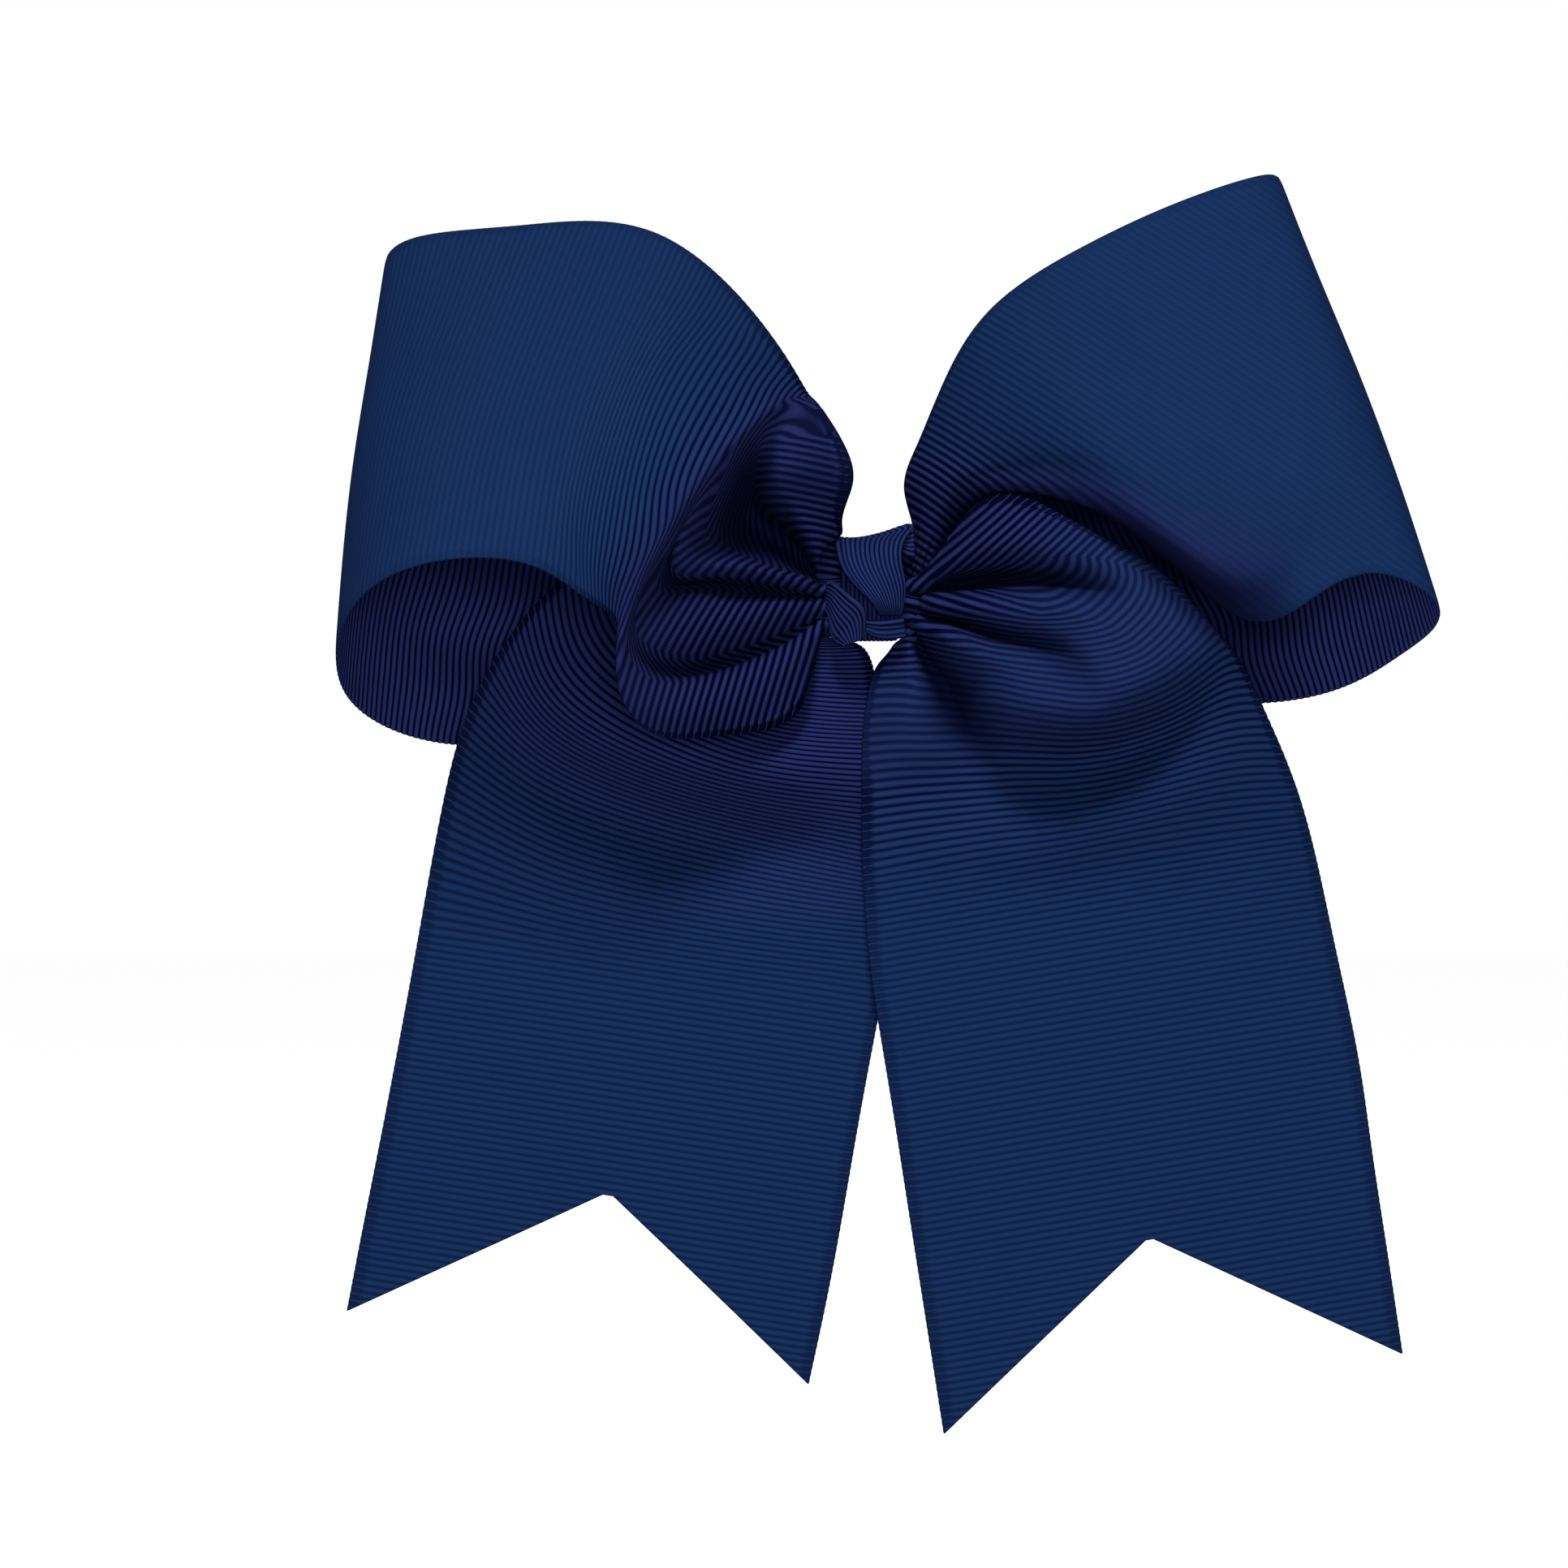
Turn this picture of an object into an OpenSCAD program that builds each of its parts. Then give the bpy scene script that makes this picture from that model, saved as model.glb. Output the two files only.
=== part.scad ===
// Cheer hair bow: a wide ribbed ribbon in two loops and two tails, tied at the middle, on a spring hair clip.
// Frame: +Z up as worn, -Y to the front, the origin behind the knot on the clip plate's gripping face.

/* [Ribbon] */
// Width of the ribbon, from selvage to selvage
ribbon_w = 75; // [65:1:85]
// Thickness of the ribbon
ribbon_t = 0.6; // [0.4:0.1:0.8]

/* [Loops] */
// Width of the bow across both loops
bow_w = 178; // [160:1:200]
// How far the left loop's lip stands forward of the gathered middle
loop_d = 46; // [40:1:54]

/* [Tails] */
// Drop of the left tail's lower tip below the knot
left_tail_l = 130; // [115:1:160]
// Drop of the right tail's lower tip below the knot
right_tail_l = 138; // [120:1:170]
// Depth of the swallow-tail notch
notch_d = 26; // [15:1:35]

/* [Gathers] */
// Height of the gathered ribbon under the knot
throat_h = 10; // [9:0.5:12]
// Step from one gathered layer of ribbon to the next
layer_step = 2.6; // [2.2:0.1:3.2]
// Height of the pleats where the ribbon is drawn together
throat_pleat = 1.2; // [0.6:0.1:1.4]
// Height of the pleats where the loops fan out behind
fan_pleat = 2.4; // [1:0.1:3]
// Number of pleats across the ribbon
pleats = 4; // [3:1:5]

/* [Knot] */
// Width of the band round the gathered ribbon
band_w = 9; // [7:0.5:10]
// Thickness of the band
band_t = 0.7; // [0.5:0.1:1]
// Thickness of the gathering thread
thread_d = 0.5; // [0.4:0.1:0.6]
// Turns of the gathering thread
thread_turns = 4; // [2:1:4]
// Thickness of the glue between band and clip
glue_t = 0.6; // [0.4:0.1:1.2]
// Length of the glue pad along the clip
glue_l = 9; // [6:0.5:11]

/* [Clip] */
// Length of the clip from the hinge pin to the nose
nose_l = 31; // [26:1:36]
// Length of the clip from the hinge pin to the lever's end
lever_l = 13; // [11:0.5:16]
// Distance of the hinge pin from the knot's middle
hinge_x = 9; // [7:0.5:12]
// Width of the clip's plate
plate_w = 9.2; // [8.5:0.1:11]
// Thickness of the clip's sheet steel
sheet_t = 0.6; // [0.5:0.1:0.7]
// Angle of the lever away from the plate
lever_a = 24; // [20:1:26]
// Pitch of the jaw's teeth
tooth_p = 2.4; // [2:0.2:3]
// Depth of the jaw's teeth
tooth_d = 1.1; // [0.8:0.1:1.4]
// Diameter of the hinge pin
pin_d = 1.5; // [1.2:0.1:1.6]
// Thickness of the spring wire
wire_d = 0.7; // [0.6:0.05:0.75]
// Turns of the spring
spring_turns = 4; // [3:1:4]

/* [Hidden] */
$fn = 48;
// Sizes at which the ribs of the ribbon below are drawn
drawn_bow_w = 178;
drawn_loop_d = 46;
drawn_ribbon_w = 75;
drawn_left_l = 130;
drawn_right_l = 138;
drawn_band_w = 9;
drawn_band = [7.04, 8.11];
// Height below which a longer tail stretches
hang_z = -50;
reach_k = bow_w/drawn_bow_w;
depth_k = loop_d/drawn_loop_d;
width_k = ribbon_w/drawn_ribbon_w;
// Half gap where two lengths of ribbon meet inside the knot
meet_x = 0.3;
// Distance from the middle at which the ribbon leaves the band
exit_x = band_w/2 + 3;
// Running clearance of soft pieces
soft_gap = 0.3;
// Gathered ribbon: half height and half depth, and how far a rounded ring clears its corners
bundle_h = throat_h/2 + ribbon_t/2;
bundle_d = layer_step + throat_pleat + ribbon_t;
corner_k = 1.19;
thread_ring = [bundle_d, bundle_h]*corner_k + [1, 1]*(thread_d/2 + soft_gap);
band_in = thread_ring + [1, 1]*(thread_d/2 + soft_gap);
band_out = band_in + [1, 1]*band_t;
bundle_y = -(sheet_t + glue_t + band_out[0]);
// Fineness of the ribbon sheets
cols = 4*pleats;
loop_rows = 31;
tail_rows = 19;
// Rows of a tail lie closer near the knot
tail_ease = 1.25;
// Clip: the spring clears the plate and the jaw, the jaw clears the plate's ears
wire_gap = 0.2;
coil_gap = 0.45;
coil_r = pin_d/2 + wire_gap + wire_d/2;
pin_y = coil_r + wire_d/2 + wire_gap;
web_y = pin_y + coil_r + wire_d/2 + wire_gap;
ear_gap = 0.2;
ear_r = 2;
jaw_w = plate_w - 2*sheet_t - 2*ear_gap;
jaw_ear_r = pin_y - soft_gap;
pin_fit = 0.02;
pin_run = 0.05;
head_t = 0.4;
head_d = pin_d + 0.8;
tooth_gap = 0.2;
nose_x = hinge_x - nose_l;
lever_x = hinge_x + lever_l;
toothed_l = nose_l - 10;

// The gathered layers spread as they leave the band
front_exit = 1.6;
back_exit = -1.4;

// A rib of the ribbon from its lower to its upper selvage, bowed off the straight line between them
function rib(a, b, bow = [0, 0, 0]) = [for (k = [0:4]) let (s = k/4) a + (b - a)*s + bow*4*s*(1 - s)];
// A rib inside the knot: layer 1 is the front one, -1 the back one
function throat_rib(x, layer, shares = [-0.5, -0.25, 0, 0.25, 0.5]) =
  [for (s = shares) [x, layer*layer_step, s*throat_h]];
function loop_ribs(ribs) =
  [for (r = ribs) [for (p = r) [p[0]*reach_k, p[1]*depth_k, p[2]*width_k]]];
function hung(z, k) = z > hang_z ? z : hang_z + (z - hang_z)*k;
function tail_ribs(ribs, k) =
  [for (r = ribs) [for (p = r) [p[0]*width_k, p[1]*depth_k, hung(p[2], k)]]];
function drop_k(long, drawn) = (long + hang_z)/(drawn + hang_z);

// Ribs of the four lengths of ribbon: right of the knot, forward of the gathered middle, up from the knot
left_fan = [
  [[-11.5, 8.5, -19.3], [-14.5, 12, -13.5], [-13.5, 9, -7.5], [-14.5, 12, -3.8], [-10, 7.5, -0.6],
   [-10.5, 9.5, 1.2], [-8.6, 5.5, 2.6], [-8.2, 8, 6], [-4.95, 5.3, 9.2]],
  [[-23, 17, -23.4], [-26, 22, -18], [-25, 19, -12], [-26, 23, -5.5], [-18, 14, 0.4],
   [-17, 17, 2.8], [-10.3, 8.5, 4], [-9.8, 12, 10], [-4.5, 7.5, 11.5]],
  [[-34, 24.5, -23.6], [-35.5, 29, -18.5], [-34, 28.5, -12.5], [-32.5, 29, -5], [-26, 21, 1.2],
   [-24.5, 24.5, 4], [-14, 11.5, 7.8], [-13.2, 16.5, 15.3], [-3.4, 10, 15.5]],
  [[-40, 31.5, -17.5], [-40, 35, -12.5], [-38.5, 35.5, -7], [-36.8, 34, -1.8], [-33, 27.5, 2.6],
   [-29, 28.5, 8], [-20.5, 14.5, 14], [-14.5, 20.5, 20.5], [-3.2, 13, 21.5]],
  [[-40.6, 36, -9], [-39.2, 39.5, -3.5], [-36.2, 40.5, 2.3], [-32.5, 39, 8.3], [-28.6, 36.5, 14],
   [-24, 33, 19.8], [-19, 28, 25], [-13.6, 22, 29], [-8, 15, 29.8]],
  [[-41.4, 39.5, -4.6], [-41.2, 42, 0.3], [-39, 43, 5.4], [-35.6, 42, 11], [-31.8, 39.5, 16.6],
   [-27.2, 36, 22.4], [-22, 31, 27.6], [-16.4, 24, 31.8], [-10.4, 15, 32.6]]
];
left_front = [
  [[-46.5, 44, -1], [-46, 43.5, 11], [-39.5, 39, 24], [-31, 29, 36.5], [-17.5, 12.5, 43.5]],
  [[-56, 46, 4], [-53, 41, 18], [-47, 32, 32], [-40, 21, 46], [-35, 8, 58.5]],
  [[-72, 44, 3.5], [-70, 37, 17], [-66, 27, 31], [-61, 16, 46], [-57, 3, 60]],
  [[-83, 35, -3], [-82, 27, 12], [-80, 17, 28], [-77, 7, 43], [-74, -3, 58.5]]
];
left_back = [
  [[-86, 25, -12], [-85, 17, 5], [-83.5, 8, 21], [-81.5, -1, 38], [-79.5, -10, 54]],
  [[-82, 15, -20], [-80, 6, -3], [-77, -2, 14], [-75, -9, 30], [-72, -16, 46]],
  [[-66, 5, -25], [-63, -2, -9], [-60, -8, 6], [-57, -13, 21], [-54, -17, 36]],
  [[-38, -2.5, -20], [-36, -4, -9], [-34, -5, 2], [-32, -5.5, 13], [-30, -6, 23]]
];
right_front = [
  [[13.5, 1, 8], [13.5, 5.5, 12.5], [12.8, 7.5, 14], [11.8, 8, 14.8], [10.6, 8, 15.3],
   [9.4, 7.3, 15.7], [8.2, 6, 16], [7, 4, 16.3], [6, 1.5, 16.5]],
  [[22.5, 2.5, 10.5], [21.8, 12, 16.5], [20.3, 13.6, 18.8], [18.6, 13.6, 20], [16.6, 12.8, 20.9],
   [14.6, 11.8, 21.8], [12.4, 10, 22.6], [10.2, 7.5, 23.3], [8, 4, 24]],
  [[33, 6.5, 8.5], [32.2, 19, 15], [29.8, 20.3, 19], [27, 19.8, 21.7], [24, 18.6, 24.2],
   [21, 16.8, 26.7], [18, 14.5, 29], [15, 11.5, 31.3], [12, 7, 33.5]],
  [[46, 14.5, 2], [44.3, 27.5, 9.8], [41, 28.6, 16], [37.5, 27.4, 21], [34, 25.4, 26],
   [30.5, 22.8, 31], [27, 19.5, 36], [23.5, 15.5, 41], [20, 10, 46]],
  [[58.5, 22, -5.5], [57, 31.5, 1.5], [53.8, 32.2, 9], [50.5, 31.4, 16.5], [47.2, 29.4, 24.3],
   [44, 26.5, 32], [41, 23, 40], [38, 18, 48], [35, 12, 56]],
  [[68, 31, -3.5], [65, 34.5, 12], [61, 31.5, 28], [55, 24, 45], [50, 12, 63]],
  [[80, 33, 2.5], [78, 32, 18], [74, 28, 35], [69, 20, 51], [63, 9, 67.5]]
];
right_back = [
  [[91.5, 28, -3], [86, 23, 15], [79.5, 16, 33.5], [73, 9, 50], [67.5, 0, 66]],
  [[86, 16, -10.5], [81, 9, 6], [75, 3, 23], [69, -3, 39], [62, -9, 54]],
  [[70, 5, -17.5], [66, 0, -3], [61, -5, 12], [55, -9, 26], [49, -12, 40]],
  [[38, -2.5, -16], [36, -4.5, -6], [34, -5.5, 4], [32, -6, 14], [29, -6.5, 22]]
];
right_hang = [
  [[5.2, 2.5, -8.2], [5.9, 3.5, -7.4], [6.4, 4, -5.8], [7.6, 7, -4.8], [8.2, 5.5, -3.6],
   [9.2, 8, -1.8], [9.5, 5.5, 0.2], [12, 9.5, 4], [14.5, 6.5, 10.8]],
  [[3.4, 2, -9.8], [5.6, 3.5, -8.8], [6.8, 5, -6.4], [9.2, 10, -5.8], [10, 8, -4.2],
   [12.4, 12, -2], [13.5, 8.5, 1], [17.5, 14.5, 7.5], [21.8, 12.5, 15.8]],
  [[1.6, 2, -12], [6.2, 4.5, -11], [8.3, 6.5, -8.2], [12.8, 14, -7.4], [15, 12, -5.4],
   [19, 16.5, -2.4], [21, 12.5, 1.8], [26, 18.5, 7], [31, 17.5, 12.2]],
  [[0.3, 2, -15.5], [6, 5, -14.8], [10.5, 8, -11.8], [17.5, 17, -10.6], [22.5, 16.5, -7.8],
   [28, 19.5, -3.2], [31, 18, 1.4], [35.5, 20.5, 5], [39.8, 19.5, 7.4]],
  [[-0.6, 2, -21], [5, 5.5, -20.2], [13.2, 9.5, -16.2], [23, 18.5, -14.6], [31.5, 19.5, -11],
   [37.5, 21, -6.6], [41.5, 21, -2.6], [45, 21.5, 0.4], [48, 20.5, 2]],
  [[-1, 2, -27.5], [6.5, 4.5, -26.5], [16, 8, -22.5], [27, 17.5, -21.5], [37, 21, -19.5],
   [44.5, 22, -15.5], [49.5, 22, -11.5], [53, 21.5, -8], [55.5, 20, -6]],
  [[-1, 2, -34], [9, 2.5, -32.5], [20, 3.5, -29.5], [30, 5.5, -28], [40, 8.5, -26],
   [48.5, 12.5, -22], [54, 15.5, -17.5], [57.5, 17, -14], [60, 17, -11.5]],
  [[-1, 2, -42], [18, 3, -40.5], [37, 5.5, -36.5], [54, 10.5, -29], [65, 14.5, -21.5]],
  [[-0.5, 2, -50], [18.5, 2, -49], [37, 2.5, -46.5], [55.5, 5, -42], [71, 9, -36.5]],
  rib([0.5, 2.5, -62], [76, 4, -57], [0, -1.5, -1.5]),
  rib([3.5, 2.5, -81], [80, 2, -75.5], [0, -0.5, -1]),
  rib([6.5, 2.5, -100], [82.5, 1.5, -92]),
  rib([9.5, 2.5, -119], [85, 1.5, -108.5]),
  rib([12.5, 2, -138], [87.5, 1, -125])
];
left_hang = [
  [[-1, 0, -9.1], [-13, 1, -10], [-19, 2, -4], [-21, 2, 2], [-20, 2, 8]],
  [[1.5, -1, -19], [-17, 4, -19], [-30, 6, -12], [-38, 7, -3], [-38, 8, 7]],
  [[3.5, -1, -29], [-17, 5.5, -29], [-36, 8, -23.5], [-50, 10, -14], [-53, 12, -1]],
  [[4, -2, -42], [-16, -1, -40.5], [-36, 2, -36.5], [-54, 7, -28.5], [-64, 12, -17]],
  [[4, -2, -52], [-15, -1, -52], [-34, 0.5, -50], [-53, 3, -45], [-69.5, 8, -35]],
  rib([2.5, -1.5, -64], [-73.5, 4, -56], [0, -1.5, -3]),
  rib([-0.5, -1, -80], [-76.5, 2, -72], [0, -0.5, -1]),
  rib([-3.5, -0.5, -97], [-79.5, 1, -87.5]),
  rib([-6.5, 0, -113.5], [-82.5, 0.5, -102.5]),
  rib([-10, 0, -130], [-85.5, 0, -118])
];
level_exit = [-0.76, -0.36, 0, 0.33, 0.66];
left_loop_net = concat(
  [throat_rib(-meet_x, 1), throat_rib(-exit_x, front_exit, [-0.69, -0.43, -0.09, 0.18, 0.92])],
  loop_ribs(left_fan), loop_ribs(left_front), loop_ribs(left_back),
  [throat_rib(-exit_x, back_exit, level_exit), throat_rib(-meet_x, -1)]
);
right_loop_net = concat(
  [throat_rib(meet_x, 0), throat_rib(exit_x, 0, [-0.12, 0.12, 0.35, 0.58, 0.86])],
  loop_ribs(right_front), loop_ribs(right_back),
  [throat_rib(exit_x, back_exit, level_exit), throat_rib(meet_x, -1)]
);
right_tail_net = concat(
  [throat_rib(meet_x, 1), throat_rib(exit_x, front_exit, [-0.78, -0.6, -0.37, -0.07, 0.25])],
  tail_ribs(right_hang, drop_k(right_tail_l, drawn_right_l))
);
left_tail_net = concat(
  [throat_rib(-meet_x, 0), throat_rib(-exit_x, 0, [-0.76, -0.53, -0.22, 0.12, 0.58])],
  tail_ribs(left_hang, drop_k(left_tail_l, drawn_left_l))
);
// Strands of the knot, each a small net like the ribbon's, over the front of the band
knot_over = [
  rib([-6.4, 0.4, 8.4], [5.6, 0.6, 10.8], [0, 0, -0.6]),
  rib([-5, 2.6, 9], [5.6, 2.2, 10.4], [0, 0, -1]),
  rib([-4.6, 6.6, 8], [5, 6.2, 8.2], [0, 0.3, -0.3]),
  rib([-4.7, 9.4, 4.4], [5.2, 8.4, 4.6], [0, 0.9, 0]),
  rib([-2.2, 10.6, 0.8], [5.8, 8.6, 1.2], [0, 1.1, 0]),
  rib([0.6, 10.2, -2], [5.6, 8.6, -2.2], [0, 0.8, 0]),
  rib([1.6, 8, -3.8], [5.2, 7.8, -3.8])
];
knot_under = [
  rib([-6.8, 6.4, -3.8], [-6.8, 6.8, 1.6]),
  rib([-6.5, 8, -4.8], [-5.4, 9, 1], [0, 0.3, 0]),
  rib([-6.3, 8.2, -6.9], [-3, 10, -1], [0, 0.7, 0]),
  rib([-5.6, 7.9, -8.3], [-0.9, 9.6, -3.2], [0, 0.6, 0]),
  rib([-4.2, 7.6, -8.9], [-0.9, 7.9, -7.8])
];
knot_tuck = [
  rib([-0.4, 7.9, -6.6], [-0.4, 8.4, -4.8]),
  rib([2, 7.8, -7.7], [2.2, 9.3, -4.8], [0, 0.3, 0]),
  rib([5.6, 7.6, -6.2], [5.4, 8.2, -4.3])
];
knot_end = [
  rib([4.95, 4.4, 6.8], [4.95, 2.2, 9.4]),
  rib([6.2, 4.4, 6], [6.2, 2.2, 10]),
  rib([7.5, 4.4, 5.6], [7.4, 2.6, 10.6])
];
function strand_ribs(ribs) =
  [for (r = ribs) [for (p = r) [p[0]*band_w/drawn_band_w, p[1]*band_out[0]/drawn_band[0], p[2]*band_out[1]/drawn_band[1]]]];
// Fineness of the knot's strands
strand_rows = 8;
strand_cols = 5;

// Smooth curve through stations, each a point or a whole rib
function padded(c) = let (n = len(c)) concat([2*c[0] - c[1]], c, [2*c[n - 1] - c[n - 2]]);
function settled(p, c, steps = 8) =
  let (e = padded(c))
  steps == 0 ? e
    : settled(p, [for (i = [0:len(p) - 1]) c[i] + p[i] - (e[i] + 4*e[i + 1] + e[i + 2])/6], steps - 1);
function on_curve(c, t) =
  let (i = min(floor(t), len(c) - 4), f = t - i, g = 1 - f)
  (g*g*g*c[i] + (3*f*f*f - 6*f*f + 4)*c[i + 1] + (3*g*g*g - 6*g*g + 4)*c[i + 2] + f*f*f*c[i + 3])/6;

// Pleat height at station t, counted from the knot: the front folds are drawn, so only the back fans out in pleats
function pleat_d(t) = t < 1 ? throat_pleat : t < 2 ? throat_pleat*(2 - t) : 0;
function back_pleat_d(t) =
  t < 1 ? throat_pleat
    : t < 2 ? throat_pleat + (fan_pleat - throat_pleat)*(t - 1)
    : t < 4 ? fan_pleat*(4 - t)/2 : 0;

// Grid of points of a ribbon sheet: the notch shortens its middle, looped means that both ends are in the knot
function across(ribs, n) =
  [for (r = ribs) let (c = settled(r, r)) [for (j = [0:n]) on_curve(c, j*(len(r) - 1)/n)]];
function sheet_grid(ribs, rows, n, notch = 0, looped = false, pleated = true, ease = 1) =
  let (
    lines = across(ribs, n),
    c = settled(lines, lines),
    last = len(ribs) - 1,
    step = norm(ribs[last][0] - ribs[last - 1][0])
  )
  [for (i = [0:rows]) [for (j = [0:n])
    let (
      v = j/n,
      t = pow(i/rows, ease)*(last - notch/step*(1 - abs(2*v - 1))),
      p = on_curve(c, t)[j],
      h = pleat_d(t) + (looped ? back_pleat_d(last - t) : 0)
    )
    [p[0], bundle_y - p[1] + (pleated ? h*cos(360*pleats*v) : 0), p[2]]
  ]];
function facing(g, i, j) =
  let (
    a = g[min(i + 1, len(g) - 1)][j] - g[max(i - 1, 0)][j],
    b = g[i][min(j + 1, len(g[i]) - 1)] - g[i][max(j - 1, 0)],
    m = cross(a, b)
  )
  m/norm(m);

// Closed thin solid on both sides of a grid of points
module sheet(g, t) {
  m = len(g) - 1;
  n = len(g[0]) - 1;
  function id(i, j, s) = 2*(i*(n + 1) + j) + s;
  points = [for (i = [0:m]) for (j = [0:n]) for (s = [1, -1]) g[i][j] + facing(g, i, j)*s*t/2];
  skins = [for (i = [0:m - 1]) for (j = [0:n - 1]) each [
    [id(i, j, 0), id(i, j + 1, 0), id(i + 1, j + 1, 0)],
    [id(i, j, 0), id(i + 1, j + 1, 0), id(i + 1, j, 0)],
    [id(i, j, 1), id(i + 1, j + 1, 1), id(i, j + 1, 1)],
    [id(i, j, 1), id(i + 1, j, 1), id(i + 1, j + 1, 1)]
  ]];
  selvages = [for (i = [0:m - 1]) each [
    [id(i, 0, 0), id(i + 1, 0, 0), id(i + 1, 0, 1)],
    [id(i, 0, 0), id(i + 1, 0, 1), id(i, 0, 1)],
    [id(i, n, 0), id(i + 1, n, 1), id(i + 1, n, 0)],
    [id(i, n, 0), id(i, n, 1), id(i + 1, n, 1)]
  ]];
  ends = [for (j = [0:n - 1]) each [
    [id(0, j, 0), id(0, j + 1, 1), id(0, j + 1, 0)],
    [id(0, j, 0), id(0, j, 1), id(0, j + 1, 1)],
    [id(m, j, 0), id(m, j + 1, 0), id(m, j + 1, 1)],
    [id(m, j, 0), id(m, j + 1, 1), id(m, j, 1)]
  ]];
  polyhedron(points, concat(skins, selvages, ends), convexity = 10);
}

// Round tube of six sides along a path that stays nearly square to the axis given
module tube(path, d, axis) {
  sides = 6;
  last = len(path) - 1;
  function along(i) = path[min(i + 1, last)] - path[max(i - 1, 0)];
  function side(i) = let (s = cross(axis, along(i))) s/norm(s);
  function lift(i) = let (s = cross(along(i), side(i))) s/norm(s);
  points = [for (i = [0:last]) for (k = [0:sides - 1])
    path[i] + (side(i)*cos(360*k/sides) + lift(i)*sin(360*k/sides))*d/2];
  function id(i, k) = i*sides + k % sides;
  walls = [for (i = [0:last - 1]) for (k = [0:sides - 1]) each [
    [id(i, k), id(i + 1, k + 1), id(i, k + 1)],
    [id(i, k), id(i + 1, k), id(i + 1, k + 1)]
  ]];
  caps = [for (k = [1:sides - 2]) each [
    [id(0, 0), id(0, k), id(0, k + 1)],
    [id(last, 0), id(last, k + 1), id(last, k)]
  ]];
  polyhedron(points, concat(walls, caps), convexity = 10);
}
// Least gap between points of a tube that are at least one part of a turn apart
function least_gap(path, d, apart) =
  min([for (i = [0:len(path) - 1 - apart]) for (k = [i + apart:len(path) - 1]) norm(path[i] - path[k])]) - d;

module left_loop() {
  color("midnightblue") sheet(sheet_grid(left_loop_net, loop_rows, cols, looped = true), ribbon_t);
}

module right_loop() {
  color("midnightblue") sheet(sheet_grid(right_loop_net, loop_rows, cols, looped = true), ribbon_t);
}

module left_tail() {
  color("midnightblue") sheet(sheet_grid(left_tail_net, tail_rows, cols, notch_d, ease = tail_ease), ribbon_t);
}

module right_tail() {
  color("midnightblue") sheet(sheet_grid(right_tail_net, tail_rows, cols, notch_d, ease = tail_ease), ribbon_t);
}

module knot() {
  color("darkslateblue")
    for (strand = [knot_over, knot_under, knot_tuck, knot_end])
      sheet(sheet_grid(strand_ribs(strand), strand_rows, strand_cols, pleated = false), ribbon_t);
}

// Rounded ring outline round the gathered ribbon, wide in depth first
function power(x, e) = sign(x)*pow(abs(x), e);
function ring_point(r, a) = [power(cos(a), 0.5)*r[0], power(sin(a), 0.5)*r[1]];
module ring_2d(r) {
  ring_steps = 40;
  polygon([for (k = [0:ring_steps - 1]) ring_point(r, 360*k/ring_steps)]);
}

module knot_band() {
  color("midnightblue")
    translate([-band_w/2, bundle_y, 0])
      rotate([90, 0, 90])
        linear_extrude(band_w)
          difference() {
            ring_2d(band_out);
            ring_2d(band_in);
          }
}

thread_step = thread_d + coil_gap;
thread_rings = 11;
thread_path = [for (k = [0:thread_turns*thread_rings])
  let (a = 360*k/thread_rings, p = ring_point(thread_ring, a))
  [(k/thread_rings - thread_turns/2)*thread_step, bundle_y + p[0], p[1]]];
module gathering_thread() {
  color("navy") tube(thread_path, thread_d, [1, 0, 0]);
  echo(thread_gap = least_gap(thread_path, thread_d, thread_rings - 2));
}

module glue_pad() {
  glue_h = throat_h*0.6;
  color("ghostwhite")
    translate([-glue_l/2, -sheet_t - glue_t, -glue_h/2])
      cube([glue_l, glue_t, glue_h]);
}

// Flat strip in the clip's plane with round corners, from one x to another
module strip_2d(x0, x1, w, r) {
  translate([x0 + r, -w/2]) square([x1 - x0 - 2*r, w]);
  translate([x0, -w/2 + r]) square([x1 - x0, w - 2*r]);
  for (x = [x0 + r, x1 - r])
    for (y = [-w/2 + r, w/2 - r])
      translate([x, y]) circle(r);
}

// One wall of sheet steel square to the hinge pin, on the side given
module side_wall(w, side) {
  translate([0, 0, side > 0 ? w/2 - sheet_t : -w/2])
    linear_extrude(sheet_t)
      children();
}

module clip_plate() {
  corner_r = 3;
  color("silver") {
    rotate([90, 0, 0])
      linear_extrude(sheet_t)
        strip_2d(nose_x, lever_x, plate_w, corner_r);
    for (side = [-1, 1])
      side_wall(plate_w, side)
        difference() {
          union() {
            translate([hinge_x, pin_y]) circle(ear_r);
            translate([hinge_x - ear_r, -sheet_t]) square([2*ear_r, pin_y + sheet_t]);
          }
          translate([hinge_x, pin_y]) circle(pin_d/2 + pin_fit);
        }
  }
}

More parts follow.
